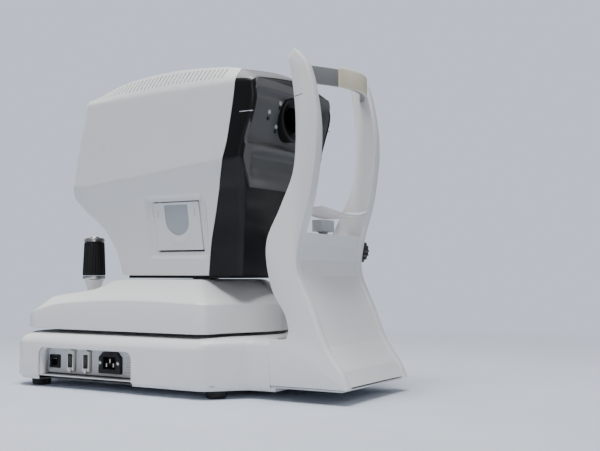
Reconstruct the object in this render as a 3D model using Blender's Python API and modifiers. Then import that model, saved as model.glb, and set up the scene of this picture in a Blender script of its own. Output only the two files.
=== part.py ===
"""Autorefractor: a table-top eye refraction instrument on a sliding stage, with a headrest.

Frame: origin at the bottom centre of the bounding box, +X to the operator's right,
+Y from the operator towards the patient, +Z up. Sizes below are in millimetres, and MM turns
them into Blender's metres.
"""
import math

import bmesh
import bpy
from mathutils import Matrix, Vector

MM = 0.001
GAP = 0.3                      # clearance between neighbouring pieces

# --- Driving dimensions -------------------------------------------------------------------
BASE_HALF_WIDTH = 131.0
BASE_FRONT_Y = -255.0
BASE_BOTTOM_Z = 14.0
BASE_WALL_TOP_Z = 62.0
BASE_CROWN_Z = 74.0
RECESS = (-196.0, -31.0)       # front and rear ends of the connector recess in the right wall
FRONT_FOOT = (104.0, -216.0)   # distance of a foot from the middle, and its Y
REAR_FOOT = (100.0, 80.0)
LOCK_SCREW = (40.0, 103.0)
WALL = 3.0                     # casing wall thickness
NECK_HALF_WIDTH = 86.0
NECK_END_Y = 150.0

UPRIGHT_INNER_X = 72.0
UPRIGHT_OUTER_X = 88.0
PANEL_TOP_Z = 203.0

STAGE_HALF_WIDTH = 120.0
STAGE_FRONT_Y = -251.0
STAGE_REAR_Y = 113.0
STAGE_BOTTOM_Z = 78.0
STAGE_TOP_Z = 146.0

STICK_Y = -218.0               # joystick axis
STICK_PIVOT_Z = 104.0
GRIP_BOTTOM_Z = 150.0
GRIP_TOP_Z = 201.0

HEAD_HALF_WIDTH = 100.0
HEAD_BOTTOM_Z = 151.0
HEAD_CROWN_Z = 428.0
BEZEL_SPLIT_Z = 272.0
OPTICAL_AXIS_Z = 356.0
LENS_FACE_Y = 131.0

SKIRT_TOP_Z = 184.0
COLUMN_Y = -10.0
COLUMN_RADIUS = 18.0

RAIL_X = 60.0
RAIL_TOP_Z = 79.0
WHEEL_RADIUS = 8.0
AXLE_Y = -50.0
AXLE_Z = RAIL_TOP_Z + GAP + WHEEL_RADIUS
ROD_YS = (-92.0, -8.0)         # the two cross rods

CHIN_POST_Y = 176.0
CHIN_SHAFT_Z = 185.0
PINION_RADIUS = 8.0
CHIN_SHAFT_Y = CHIN_POST_Y - 4 - PINION_RADIUS

DOOR_Y = 1.0                   # printer door, in the sloping right side
DOOR_HINGE_Z = 183.0
DOOR_WIDTH = 75.0
DOOR_HEIGHT = 64.0

# Half-width of the head at each height, as (X, Z)
WALL_PROFILE = [(73, 151), (75, 171), (81, 215), (90, 250), (100, 283)]

# Side outlines, as (Y, Z)
OPERATOR_PROFILE = [(-103, 151), (-109, 176), (-130, 218), (-169, 258), (-174, 272), (-162, 328), (-144, 392)]
CROWN_PROFILE = [(-140, 404), (-80, 421), (-15, 428), (50, 427.5), (104, 422)]
PATIENT_PROFILE = [(136, 396), (140, 370), (121, 301), (103, 151)]
SHELL_EDGE = [(109, 440), (109, 390), (102, 343), (95, 298), (77, 247), (59, 197), (51, 151), (51, 140)]
UPRIGHT_OPERATOR_EDGE = [(176, 418), (182, 390), (187, 340), (184, 280), (165, 234), (145, 190), (152, 138),
                         (172, 104), (178, 69)]
UPRIGHT_PATIENT_EDGE = [(255, 18), (246, 38), (226, 66), (207, 112), (189, 155), (192, 194), (208, 252),
                        (216, 315), (212, 364), (201, 407), (184, 428)]


# --- Scene and helpers --------------------------------------------------------------------
def clear_scene():
    for old in list(bpy.data.objects):
        bpy.data.objects.remove(old, do_unlink=True)


def make_collection(name):
    collection = bpy.data.collections.new(name)
    bpy.context.scene.collection.children.link(collection)
    return collection


clear_scene()
PARTS = make_collection("autorefractor")
CUTTERS = make_collection("cutters")

WHITE = ("white_plastic", (0.80, 0.81, 0.82), 0.35, 0.0)
BLACK = ("black_plastic", (0.02, 0.02, 0.022), 0.35, 0.0)
DARK_GREY = ("dark_grey_plastic", (0.07, 0.075, 0.08), 0.45, 0.0)
RUBBER = ("rubber", (0.015, 0.015, 0.015), 0.8, 0.0)
STEEL = ("steel", (0.62, 0.62, 0.63), 0.3, 1.0)
ALUMINIUM = ("aluminium", (0.75, 0.75, 0.76), 0.35, 1.0)
GLASS = ("glass", (0.05, 0.08, 0.12), 0.05, 0.0)
SILICONE = ("silicone", (0.85, 0.80, 0.68), 0.4, 0.0)
CLEAR = ("translucent_plastic", (0.85, 0.88, 0.90), 0.2, 0.0)
BOARD = ("circuit_board", (0.03, 0.22, 0.09), 0.5, 0.0)
PAPER = ("paper", (0.9, 0.89, 0.85), 0.8, 0.0)


def paint(obj, finish):
    """Give the object its own Principled BSDF material."""
    label, colour, roughness, metallic = finish
    material = bpy.data.materials.new(obj.name + "_" + label)
    material.use_nodes = True
    shader = material.node_tree.nodes["Principled BSDF"]
    shader.inputs["Base Color"].default_value = (*colour, 1.0)
    shader.inputs["Roughness"].default_value = roughness
    shader.inputs["Metallic"].default_value = metallic
    obj.data.materials.append(material)


def from_bmesh(name, bm, finish=None):
    """Make a named part, or a hidden cutter when it has no finish."""
    bmesh.ops.recalc_face_normals(bm, faces=bm.faces)
    mesh = bpy.data.meshes.new(name)
    bm.to_mesh(mesh)
    bm.free()
    obj = bpy.data.objects.new(name, mesh)
    if finish:
        PARTS.objects.link(obj)
        paint(obj, finish)
    else:
        CUTTERS.objects.link(obj)
        obj.hide_render = True
        obj.display_type = "WIRE"
    return obj


def box(name, low, high, finish=None):
    """A box between two corners."""
    bm = bmesh.new()
    bmesh.ops.create_cube(bm, size=1.0)
    size = [(b - a) * MM for a, b in zip(low, high)]
    centre = [(a + b) * MM / 2 for a, b in zip(low, high)]
    bmesh.ops.scale(bm, vec=size, verts=bm.verts)
    bmesh.ops.translate(bm, vec=centre, verts=bm.verts)
    return from_bmesh(name, bm, finish)


def cylinder(name, centre, radius, length, axis="Z", finish=None, sides=32, top_radius=None):
    """A cylinder or cone centred on a point, along X, Y or Z."""
    bm = bmesh.new()
    turn = {"X": Matrix.Rotation(math.pi / 2, 4, "Y"),
            "Y": Matrix.Rotation(-math.pi / 2, 4, "X"),
            "Z": Matrix.Identity(4)}[axis]
    end_radius = radius if top_radius is None else top_radius
    bmesh.ops.create_cone(bm, cap_ends=True, segments=sides, radius1=radius * MM, radius2=end_radius * MM,
                          depth=length * MM, matrix=Matrix.Translation(Vector(centre) * MM) @ turn)
    return from_bmesh(name, bm, finish)


def prism(name, outline, axis, start, end, finish=None):
    """Extrude a flat outline along an axis. The outline is (Y, Z) for X, (X, Z) for Y, (X, Y) for Z."""
    place = {"X": lambda a, b, t: (t, a, b),
             "Y": lambda a, b, t: (a, t, b),
             "Z": lambda a, b, t: (a, b, t)}[axis]
    bm = bmesh.new()
    ring = [bm.verts.new(Vector(place(a, b, start)) * MM) for a, b in outline]
    face = bm.faces.new(ring)
    swept = bmesh.ops.extrude_face_region(bm, geom=[face])["geom"]
    moved = [v for v in swept if isinstance(v, bmesh.types.BMVert)]
    step = Vector(place(0, 0, end)) - Vector(place(0, 0, start))
    bmesh.ops.translate(bm, vec=step * MM, verts=moved)
    return from_bmesh(name, bm, finish)


def turned(name, profile, centre, axis="Z", finish=None, steps=32):
    """Turn a closed (radius, height) profile about an axis through a point."""
    bm = bmesh.new()
    verts = [bm.verts.new((r * MM, 0, h * MM)) for r, h in profile]
    on_axis = profile[0][0] == 0 and profile[-1][0] == 0
    pairs = list(zip(verts, verts[1:]))
    if not on_axis:
        pairs.append((verts[-1], verts[0]))
    for first, second in pairs:
        bm.edges.new((first, second))
    mesh = bpy.data.meshes.new(name)
    bm.to_mesh(mesh)
    bm.free()
    obj = bpy.data.objects.new(name, mesh)
    (PARTS if finish else CUTTERS).objects.link(obj)
    screw = obj.modifiers.new("turn", "SCREW")
    screw.axis = "Z"
    screw.steps = steps
    screw.render_steps = steps
    screw.use_merge_vertices = True
    screw.merge_threshold = 0.00001
    turn = {"X": Matrix.Rotation(math.pi / 2, 4, "Y"),
            "Y": Matrix.Rotation(-math.pi / 2, 4, "X"),
            "Z": Matrix.Identity(4)}[axis]
    obj.matrix_world = Matrix.Translation(Vector(centre) * MM) @ turn
    if finish:
        paint(obj, finish)
    else:
        obj.hide_render = True
        obj.display_type = "WIRE"
    return obj


def boolean(obj, other, operation):
    modifier = obj.modifiers.new(operation.lower() + "_" + other.name, "BOOLEAN")
    modifier.operation = operation
    modifier.solver = "EXACT"
    modifier.object = other
    return obj


def cut(obj, *cutters):
    for cutter in cutters:
        boolean(obj, cutter, "DIFFERENCE")
    return obj


def keep(obj, *regions):
    for region in regions:
        boolean(obj, region, "INTERSECT")
    return obj


def join(obj, *others):
    for other in others:
        boolean(obj, other, "UNION")
    return obj


def arc(centre_x, centre_y, radius, start, end, count=6):
    """Points on an arc between two angles in degrees."""
    angles = [math.radians(start + (end - start) * i / count) for i in range(count + 1)]
    return [(centre_x + radius * math.cos(a), centre_y + radius * math.sin(a)) for a in angles]


def smooth(points, steps=3):
    """A smooth curve through a few points (Catmull-Rom)."""
    result = []
    padded = [points[0]] + points + [points[-1]]
    for p0, p1, p2, p3 in zip(padded, padded[1:], padded[2:], padded[3:]):
        for i in range(steps):
            t = i / steps
            result.append(tuple(
                0.5 * (2 * b + (c - a) * t + (2 * a - 5 * b + 4 * c - d) * t ** 2
                       + (3 * b - a - 3 * c + d) * t ** 3)
                for a, b, c, d in zip(p0, p1, p2, p3)))
    result.append(points[-1])
    return result


def mirrored(half):
    """Close an outline that is symmetric about its first axis from its positive half."""
    return half + [(-a, b) for a, b in reversed(half)]


def axis_empty(name, point):
    """An empty on a joint's axis, at a point in millimetres."""
    empty = bpy.data.objects.new(name, None)
    empty.location = Vector(point) * MM
    PARTS.objects.link(empty)
    return empty


def hang(empty, *objects):
    """Parent objects to an empty without moving them."""
    bpy.context.view_layer.update()
    for obj in objects:
        obj.parent = empty
        obj.matrix_parent_inverse = empty.matrix_world.inverted()


# --- Base ---------------------------------------------------------------------------------
def base_outline(inset=0.0):
    """Plan of the base: bowed front, round corners, and a neck towards the headrest."""
    side = BASE_HALF_WIDTH - inset
    front = BASE_FRONT_Y + inset
    neck = NECK_HALF_WIDTH - inset
    neck_end = NECK_END_Y if inset == 0 else NECK_END_Y + 5
    half = [(0.1, front), (60, front + 2)]
    half += arc(side - 33, front + 37, 33, -78, 0, 6)
    half += arc(side - 20, 74, 20, 0, 45, 3)
    half += [(neck + 4, 114), (neck, 122), (neck, neck_end)]
    return mirrored(half)


def base_crown(inset=0.0):
    """Front outline of the base: straight wall, then a crowned top."""
    side = BASE_HALF_WIDTH + 5
    top = BASE_CROWN_Z - inset
    shoulder = BASE_WALL_TOP_Z - inset
    return mirrored([(0.1, top), (104, top - 0.5), (118, top - 2.5), (127, top - 7), (side - 4, shoulder),
                     (side, shoulder - 4), (side, BASE_BOTTOM_Z - 10)])


def build_base():
    cover = prism("base_cover", base_outline(), "Z", BASE_BOTTOM_Z, 90, WHITE)
    keep(cover, prism("base_crown_region", base_crown(), "Y", -300, 300))
    hollow = prism("base_hollow", base_outline(WALL), "Z", BASE_BOTTOM_Z - 5, 90)
    keep(hollow, prism("base_hollow_crown", base_crown(WALL), "Y", -300, 300))
    cut(cover, hollow)
    cut(cover, box("recess_opening", (120, RECESS[0], 0), (140, RECESS[1], 54)))
    cut(cover, box("switch_opening", (-140, -114, 22), (-120, -80, 50)))

    plate = prism("base_plate", base_outline(WALL + 1), "Z", BASE_BOTTOM_Z + 1, BASE_BOTTOM_Z + 3, STEEL)
    join(plate, box("plate_tongue", (-84, NECK_END_Y + 1, BASE_BOTTOM_Z + 1), (84, 248, BASE_BOTTOM_Z + 3)))
    foot_height = BASE_BOTTOM_Z + 1 - GAP
    screw = [(0, 30), (4, 30), (4, 13.5), (10, 13.5), (10, 5), (8.5, 3), (0, 3)]
    for side, sign in (("left", -1), ("right", 1)):
        for end, (x, y) in (("front", FRONT_FOOT), ("rear", REAR_FOOT)):
            cylinder("foot_%s_%s" % (end, side), (sign * x, y, foot_height / 2), 12, foot_height,
                     finish=RUBBER, sides=24, top_radius=15)
        x, y = sign * LOCK_SCREW[0], LOCK_SCREW[1]
        cut(plate, cylinder("lock_screw_hole", (x, y, 15), 4.5, 20, sides=16))
        turned("lock_screw_" + side, screw, (x, y, 0), finish=STEEL, steps=24)


def build_connectors():
    """The recess on the right side: panel, network jack, two serial ports and the mains inlet."""
    panel_x = 112.0
    panel = box("connector_panel", (panel_x - 2, RECESS[0] + 0.5, 18), (panel_x, RECESS[1] - 0.5, 54), DARK_GREY)
    jack = box("lan_jack", (panel_x - 12, -191.5, 25), (panel_x + 2, -172.5, 42), BLACK)
    cut(jack, box("jack_mouth", (panel_x - 8, -188, 28), (panel_x + 5, -176, 39)))
    cut(panel, box("jack_hole", (100, -192, 24.5), (120, -172, 42.5)))
    for name, y in [("serial_port_1", -150), ("serial_port_2", -122)]:
        port = box(name, (panel_x - 8, y - 6, 22), (panel_x + 5, y + 6, 50), STEEL)
        cut(port, box(name + "_mouth", (panel_x + 1, y - 4, 27), (panel_x + 9, y + 4, 45)))
        cut(panel, box(name + "_hole", (100, y - 6.5, 21.5), (120, y + 6.5, 50.5)))
    outline = [(-100, 22), (-100, 43), (-93, 50), (-69, 50), (-62, 43), (-62, 22)]
    inlet = prism("power_inlet", outline, "X", panel_x - 14, panel_x + 4, BLACK)
    cut(inlet, box("inlet_mouth", (panel_x - 8, -92, 28), (panel_x + 8, -70, 44)))
    hole = [(-100.5, 21.5), (-100.5, 43.3), (-93.2, 50.5), (-68.8, 50.5), (-61.5, 43.3), (-61.5, 21.5)]
    cut(panel, prism("inlet_hole", hole, "X", 100, 120))
    box("power_supply", (10, -150, 20), (90, -20, 55), ALUMINIUM)


def build_power_switch():
    """A rocker in a frame, let into the left wall. The rocker turns about an axis along Y."""
    frame = box("switch_frame", (-BASE_HALF_WIDTH, -113.7, 22.3), (-124, -80.3, 49.7), BLACK)
    cut(frame, box("switch_frame_hole", (-140, -110, 26), (-120, -84, 46)))
    rocker = [(-130.6, 45), (-128.4, 36), (-127.8, 27), (-123, 29), (-121, 36), (-123, 43)]
    body = prism("switch_rocker", rocker, "Y", -109.6, -84.4, BLACK)
    hang(axis_empty("switch_axis", (-126, -97, 36)), body)


def build_rails():
    for name, x in [("rail_left", -RAIL_X), ("rail_right", RAIL_X)]:
        box(name, (x - 4, -165, BASE_CROWN_Z + GAP), (x + 4, 50, RAIL_TOP_Z), STEEL)
    box("friction_plate", (-55, -246, BASE_CROWN_Z + GAP), (55, -168, BASE_CROWN_Z + 2), STEEL)


# --- Headrest -----------------------------------------------------------------------------
def upright_outline():
    foot = [(150, 66), (151, 18)]
    return smooth(UPRIGHT_OPERATOR_EDGE) + foot + smooth(UPRIGHT_PATIENT_EDGE)


def edge_y(edge, z):
    """The Y of an edge at height z."""
    points = sorted(edge, key=lambda p: p[1])
    for (y0, z0), (y1, z1) in zip(points, points[1:]):
        if z0 <= z <= z1:
            return y0 + (y1 - y0) * (z - z0) / (z1 - z0)
    return points[0][0] if z < points[0][1] else points[-1][0]


def build_headrest():
    for name, sign in [("upright_left", -1), ("upright_right", 1)]:
        ends = sorted((sign * UPRIGHT_INNER_X, sign * UPRIGHT_OUTER_X))
        upright = prism(name, upright_outline(), "X", ends[0], ends[1], WHITE)
        if sign < 0:
            cut(upright, cylinder("shaft_hole", (-80, CHIN_SHAFT_Y, CHIN_SHAFT_Z), 5.5, 40, "X"))
    half = UPRIGHT_INNER_X - GAP
    levels = [20, 38, 52, 66.5, 80, 95, 112, 130, 150, 170, 188, PANEL_TOP_Z]
    patient = smooth(UPRIGHT_PATIENT_EDGE)
    operator = smooth(UPRIGHT_OPERATOR_EDGE) + [(150, 66), (151, 18)]
    outer = [(edge_y(patient, z) - 1, z) for z in levels]
    inner = [(edge_y(patient, z) - 1 - WALL, z) for z in levels]
    top = [(edge_y(operator, PANEL_TOP_Z) + 1, PANEL_TOP_Z), (edge_y(operator, 198) + 1, 198),
           (edge_y(patient, 198) - 1 - WALL, 198)]
    inside = [p for p in inner if p[1] < 198]
    panel = prism("headrest_panel", outer + top + inside[::-1], "X", -half, half, WHITE)
    cut(panel, box("post_opening", (-9, CHIN_POST_Y - 6, 190), (9, CHIN_POST_Y + 6, 210)))
    back_levels = [70, 80, 95, 112, 130, 150, 170, 188, 197.4]
    back = [(edge_y(operator, z) + 1, z) for z in back_levels]
    back_in = [(edge_y(operator, z) + 1 + WALL, z) for z in back_levels]
    prism("headrest_rear_cover", back + back_in[::-1], "X", -half, half, WHITE)


def bow(y_end, y_middle, half_width, steps=12):
    """A shallow arc in plan from -half_width to +half_width."""
    return [(-half_width + 2 * half_width * i / steps,
             y_end + (y_middle - y_end) * math.cos(math.pi / 2 * (2 * i / steps - 1)))
            for i in range(steps + 1)]


def build_forehead_rest():
    half = UPRIGHT_INNER_X - GAP
    outer = bow(199, 226, half)
    inner = bow(193, 220, half)
    prism("forehead_band", inner + outer[::-1], "Z", 386, 408, DARK_GREY)
    pad_in = [(x, y + GAP) for x, y in outer if abs(x) < 40]
    pad_out = [(x, y + 5) for x, y in outer if abs(x) < 40]
    prism("forehead_pad", pad_in + pad_out[::-1], "Z", 384, 410, SILICONE)


def build_chin_rest():
    cup_plan = mirrored([(0.1, 170), (40, 172), (60, 178), (62, 194), (56, 212), (30, 218), (0.1, 216)])
    cup = prism("chin_cup", cup_plan, "Z", 222.5, 240, CLEAR)
    saddle = [(-70, 250), (-70, 239), (-44, 236), (-20, 228), (0, 226), (20, 228), (44, 236), (70, 239), (70, 250)]
    cut(cup, prism("chin_saddle", saddle, "Y", 160, 230))
    front = CHIN_POST_Y - 4
    tooth = 2 * math.pi * PINION_RADIUS / 16
    rack = [(front, 207.7)]
    for i in range(26):
        top = 206 - i * tooth
        rack += [(front, top), (front + 1.6, top - 0.3 * tooth), (front + 1.6, top - 0.6 * tooth)]
    rack += [(front, 206 - 26 * tooth), (CHIN_POST_Y + 4, 206 - 26 * tooth), (CHIN_POST_Y + 4, 207.7)]
    post = prism("chin_post", rack, "X", -6, 6, STEEL)
    join(post, box("chin_block", (-16, CHIN_POST_Y - 7, 207), (16, CHIN_POST_Y + 8, 222.2)))


def build_chin_knob():
    shaft = [(0, 12), (PINION_RADIUS - 0.5, 12), (PINION_RADIUS - 0.5, -12), (5, -12), (5, -106.7), (0, -106.7)]
    rod = turned("chin_shaft", shaft, (0, CHIN_SHAFT_Y, CHIN_SHAFT_Z), "X", STEEL, 24)
    knob = cylinder("chin_knob", (-116.5, CHIN_SHAFT_Y, CHIN_SHAFT_Z), 18, 19, "X", BLACK, sides=48)
    hang(axis_empty("chin_knob_axis", (0, CHIN_SHAFT_Y, CHIN_SHAFT_Z)), rod, knob)


# --- Carriage and stage -------------------------------------------------------------------
def build_carriage():
    """The carriage rolls front to back on the rails, and the stage slides sideways on its two rods."""
    frame = box("carriage_frame", (-50, -105, 82), (50, 5, 93), ALUMINIUM)
    cut(frame, box("carriage_window", (-38, -80, 70), (38, -20, 110)))
    cut(frame, cylinder("axle_bore", (0, AXLE_Y, AXLE_Z), 4.4, 160, "X", sides=16))
    for y in ROD_YS:
        cut(frame, cylinder("rod_bore", (0, y, AXLE_Z), 4.4, 160, "X", sides=16))
    wheel = [(0, 66), (4, 66), (4, 64), (WHEEL_RADIUS, 64), (WHEEL_RADIUS, 56), (4, 56),
             (4, -56), (WHEEL_RADIUS, -56), (WHEEL_RADIUS, -64), (4, -64), (4, -66), (0, -66)]
    axle = turned("roller_axle", wheel, (0, AXLE_Y, AXLE_Z), "X", STEEL, 24)
    hang(axis_empty("axle_axis", (0, AXLE_Y, AXLE_Z)), axle)


def stage_outline(inset=0.0):
    side = STAGE_HALF_WIDTH - inset
    front = STAGE_FRONT_Y + inset
    rear = STAGE_REAR_Y - inset
    half = [(0.1, front), (55, front + 2)]
    half += arc(side - 34, front + 40, 34, -75, 0, 6)
    half += arc(side - 16, rear - 50, 16, 0, 60, 4)
    half += [(57, rear - 20), (0.1, rear)]
    return mirrored(half)


def stage_side(inset=0.0):
    """Side outline of the stage: wall, front chamfer, sloping front deck and level rear deck."""
    bottom = STAGE_BOTTOM_Z if inset == 0 else STAGE_BOTTOM_Z - 20
    top = STAGE_TOP_Z - inset
    front = STAGE_FRONT_Y + inset
    return [(front - 1, bottom), (front - 1, 97 - inset), (-240 + inset, 117 - inset), (-147, 129 - inset),
            (-108, 134 - inset), (-88, top), (95, top), (115 - inset, 136 - inset), (115 - inset, bottom)]


def stage_front(inset=0.0):
    side = STAGE_HALF_WIDTH - inset
    bottom = STAGE_BOTTOM_Z - 25
    return mirrored([(0.1, 150 - inset), (84, 147 - inset), (side - 16, 138 - inset), (side - 7, 126 - inset),
                     (side + 1, 106), (side + 1, bottom)])


def build_stage():
    cover = prism("stage_cover", stage_outline(), "Z", STAGE_BOTTOM_Z, 160, WHITE)
    keep(cover, prism("stage_side_region", stage_side(), "X", -200, 200),
         prism("stage_front_region", stage_front(), "Y", -300, 200))
    hollow = prism("stage_hollow", stage_outline(WALL), "Z", STAGE_BOTTOM_Z - 10, 160)
    keep(hollow, prism("stage_hollow_side", stage_side(WALL), "X", -200, 200),
         prism("stage_hollow_front", stage_front(WALL), "Y", -300, 200))
    cut(cover, hollow, cylinder("stick_hole", (0, STICK_Y, 120), 20.5, 60),
        cylinder("column_hole", (0, COLUMN_Y, 140), COLUMN_RADIUS + 1, 60))

    plate = box("stage_plate", (-108, -160, 96), (108, 60, 100), STEEL)
    join(plate, box("plate_nose", (-45, -236, 96), (45, -155, 100)))
    for x in (-101, 101):
        for y in ROD_YS:
            join(plate, box("rod_block", (x - 5, y - 7, 80), (x + 5, y + 7, 98)))
    cut(plate, cylinder("stick_clearance", (0, STICK_Y, 98), 17, 20))
    for name, y in zip(("cross_rod_front", "cross_rod_rear"), ROD_YS):
        cylinder(name, (0, y, AXLE_Z), 4, 2 * (96 - GAP), "X", STEEL, sides=16)
    cylinder("lift_column", (0, COLUMN_Y, (100.3 + 235) / 2), COLUMN_RADIUS, 134.7, finish=STEEL, sides=32)
    skirt = box("lift_skirt", (-66, -92, STAGE_TOP_Z + 1.4), (66, 78, SKIRT_TOP_Z), BLACK)
    cut(skirt, box("skirt_hollow", (-63.5, -89.5, 140), (63.5, 75.5, 200)))


# --- Joystick -----------------------------------------------------------------------------
def build_joystick():
    """Heights in the profiles are above the pivot."""
    pivot = (0, STICK_Y, STICK_PIVOT_Z)
    low = GRIP_BOTTOM_Z - STICK_PIVOT_Z
    high = GRIP_TOP_Z - STICK_PIVOT_Z
    tip = BASE_CROWN_Z + 2.6 - STICK_PIVOT_Z
    boot = [(20, 15), (20, 8), (11, 8), (11, 11), (16, 15)]
    turned("joystick_boot", boot, pivot, finish=RUBBER)
    gimbal = turned("joystick_gimbal", [(14, 3.5), (14, -3.5), (10, -3.5), (10, 3.5)], pivot, finish=STEEL)
    ball = [(9 * math.cos(a), 9 * math.sin(a)) for a in [math.radians(d) for d in range(45, -70, -15)]]
    profile = [(0, high - GAP), (6, high - GAP), (6, low), (16.5, low), (16.5, low - 4), (15.5, low - 5),
               (9, 24), (6, 16)] + ball + [(3, -12), (2.5, tip), (0, tip)]
    rod = turned("joystick_rod", profile, pivot, finish=STEEL)
    grip_profile = [(14.6, high - GAP), (15.4, high - 3), (17, low + GAP), (6.4, low + GAP), (6.4, high - GAP)]
    grip = turned("joystick_grip", grip_profile, pivot, finish=BLACK)
    cap_profile = [(0, high + 2), (8.4, high + 2), (8.4, high + 6), (12.5, high + 6), (15, high + 3.5),
                   (15, high), (0, high)]
    cap = turned("joystick_cap", cap_profile, pivot, finish=ALUMINIUM)
    button_profile = [(0, high + 8), (6.5, high + 8), (8, high + 7), (8, high + 4.8), (0, high + 4.8)]
    button = turned("measure_button", button_profile, pivot, finish=DARK_GREY)
    hang(axis_empty("joystick_axis", pivot), gimbal, rod, grip, cap, button)


# --- Head ---------------------------------------------------------------------------------
def side_wall_x(z):
    """Half-width of the head at a height: it narrows below the crease."""
    for (x0, z0), (x1, z1) in zip(WALL_PROFILE, WALL_PROFILE[1:]):
        if z <= z1:
            return x0 + (x1 - x0) * (z - z0) / (z1 - z0)
    return HEAD_HALF_WIDTH


def head_side(inset=0.0):
    below = 0 if inset == 0 else 15
    front = [(y + inset, z) for y, z in OPERATOR_PROFILE]
    rear = [(y - inset, z) for y, z in PATIENT_PROFILE]
    front = [(front[0][0], front[0][1] - below)] + front[1:]
    rear = rear[:-1] + [(rear[-1][0], rear[-1][1] - below)]
    return front + [(y, z - inset) for y, z in CROWN_PROFILE] + rear


def head_front(inset=0.0):
    side = HEAD_HALF_WIDTH - inset
    top = HEAD_CROWN_Z - inset
    wall = [(x - inset, z) for x, z in reversed(WALL_PROFILE)]
    return mirrored([(0.1, top), (87 - inset, top - 9), (side - 2, 399 - inset), (side, 390 - inset)] + wall
                    + [(wall[-1][0], HEAD_BOTTOM_Z - 20)])


def head_plan(inset=0.0):
    side = HEAD_HALF_WIDTH - inset + 0.5
    return mirrored([(0.1, -178 + inset), (70, -176 + inset), (side - 6, -169 + inset), (side, -156 + inset),
                     (side, 100), (side - 10, 121 - inset), (60, 137 - inset), (0.1, 143 - inset)])


def head_solid(name, inset=0.0, finish=None):
    solid = prism(name, head_side(inset), "X", -120, 120, finish)
    return keep(solid, prism(name + "_front", head_front(inset), "Y", -200, 200),
                prism(name + "_plan", head_plan(inset), "Z", 100, 500))


def head_shell(name, hollow, finish, *regions):
    """One piece of the head's thin casing, bounded by regions."""
    piece = head_solid(name, 0.0, finish)
    return keep(cut(piece, hollow), *regions)


def front_region(name, grow=0.0):
    """The black front, between the white edges of the side covers."""
    outline = mirrored([(0.1, 396 + grow), (80 + grow, 392 + grow), (89 + grow, 384), (89 + grow, 277),
                        (77 + grow, 250), (68.5 + grow, 215), (62 + grow, 140)])
    return prism(name, outline, "Y", -220, -96 + grow)


def build_head_casing():
    hollow = head_solid("head_hollow", WALL)
    rear_edge = [(y - GAP, z) for y, z in SHELL_EDGE]
    casing = rear_edge + [(-250, 140), (-250, 440)]
    for name, start, end in [("side_cover_left", -130, -GAP / 2), ("side_cover_right", GAP / 2, 130)]:
        cover = head_shell(name, hollow, WHITE, prism(name + "_region", casing, "X", start, end))
        cut(cover, front_region(name + "_front_cut", GAP))
        if start > 0:
            cut(cover, on_side_wall(box("door_opening", (-14, -DOOR_WIDTH / 2 - 1, -5),
                                        (14, DOOR_WIDTH / 2 + 1, DOOR_HEIGHT + 1.5))))
    upper = box("bezel_region", (-150, -250, BEZEL_SPLIT_Z + GAP), (150, 0, 450))
    bezel = head_shell("screen_bezel", hollow, BLACK, front_region("bezel_front"), upper)
    cut(bezel, box("display_opening", (-77.3, -200, 284.7), (77.3, -100, 371.3)))
    lower = box("lower_region", (-150, -250, 100), (150, 0, BEZEL_SPLIT_Z))
    head_shell("lower_front_panel", hollow, BLACK, front_region("lower_front"), lower)

    rear = SHELL_EDGE + [(250, 140), (250, 440)]
    face_region = prism("face_region", rear, "X", -130, 130)
    above = box("face_upper_region", (-150, 0, 262 + GAP), (150, 200, 450))
    face = head_shell("patient_face", hollow, DARK_GREY, face_region, above)
    cut(face, cylinder("lens_opening", (0, LENS_FACE_Y, OPTICAL_AXIS_Z), 29.5, 60, "Y"))
    below = box("face_lower_region", (-150, 0, 100), (150, 200, 262))
    head_shell("rear_lower_cover", hollow, BLACK, face_region, below)


def build_head_inside():
    plate = box("head_plate", (-64, -102, 186), (64, 84, 190), STEEL)
    join(plate, cylinder("sleeve", (0, COLUMN_Y, 216), 25, 58))
    cut(plate, cylinder("sleeve_bore", (0, COLUMN_Y, 210), COLUMN_RADIUS + 0.5, 120))
    glass = [(y + 0.6, z) for y, z in [(-171.4, 285), (-162, 328), (-150, 371)]]
    prism("display", glass + [(y + 3.2, z) for y, z in glass[::-1]], "X", -77, 77, GLASS)
    box("main_board", (-68, -128, 285), (68, -126, 378), BOARD)
    bench = [(-70, 190.4), (-62, 190.4), (-62, 250), (40, 250), (40, 190.4), (48, 190.4), (48, 255), (100, 300),
             (100, 340), (30, 340), (30, 258), (-70, 258)]
    prism("optical_bench", bench, "X", -20, 20, ALUMINIUM)
    axis_point = (0, LENS_FACE_Y, OPTICAL_AXIS_Z)
    ring = [(29, 3), (29, -11), (12, -11), (12, -3), (14, -1), (25, 1.5), (27, 3)]
    turned("lens_ring", ring, axis_point, "Y", BLACK, 48)
    cylinder("window_glass", (0, LENS_FACE_Y - 7, OPTICAL_AXIS_Z), 11.7, 3, "Y", GLASS, sides=32)
    tube = [(15.5, 55), (15.5, -15), (11, -15), (11, 55)]
    turned("objective_tube", tube, (0, 63, OPTICAL_AXIS_Z), "Y", ALUMINIUM)


# --- Printer ------------------------------------------------------------------------------
def on_side_wall(obj):
    """Move an object from the door's own frame, X out and Z up the sloping wall, to its place."""
    slope = math.atan2(side_wall_x(DOOR_HINGE_Z + DOOR_HEIGHT) - side_wall_x(DOOR_HINGE_Z), DOOR_HEIGHT)
    corner = Vector((side_wall_x(DOOR_HINGE_Z), DOOR_Y, DOOR_HINGE_Z)) * MM
    obj.matrix_world = Matrix.Translation(corner) @ Matrix.Rotation(slope, 4, "Y")
    return obj


def window_outline(grow=0.0):
    """The arched window of the printer door, as (Y, Z) in the door's frame."""
    radius = 20.5 + grow
    return [(-radius, 9 - grow), (radius, 9 - grow)] + arc(0, 34, radius, 0, 180, 12)


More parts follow.
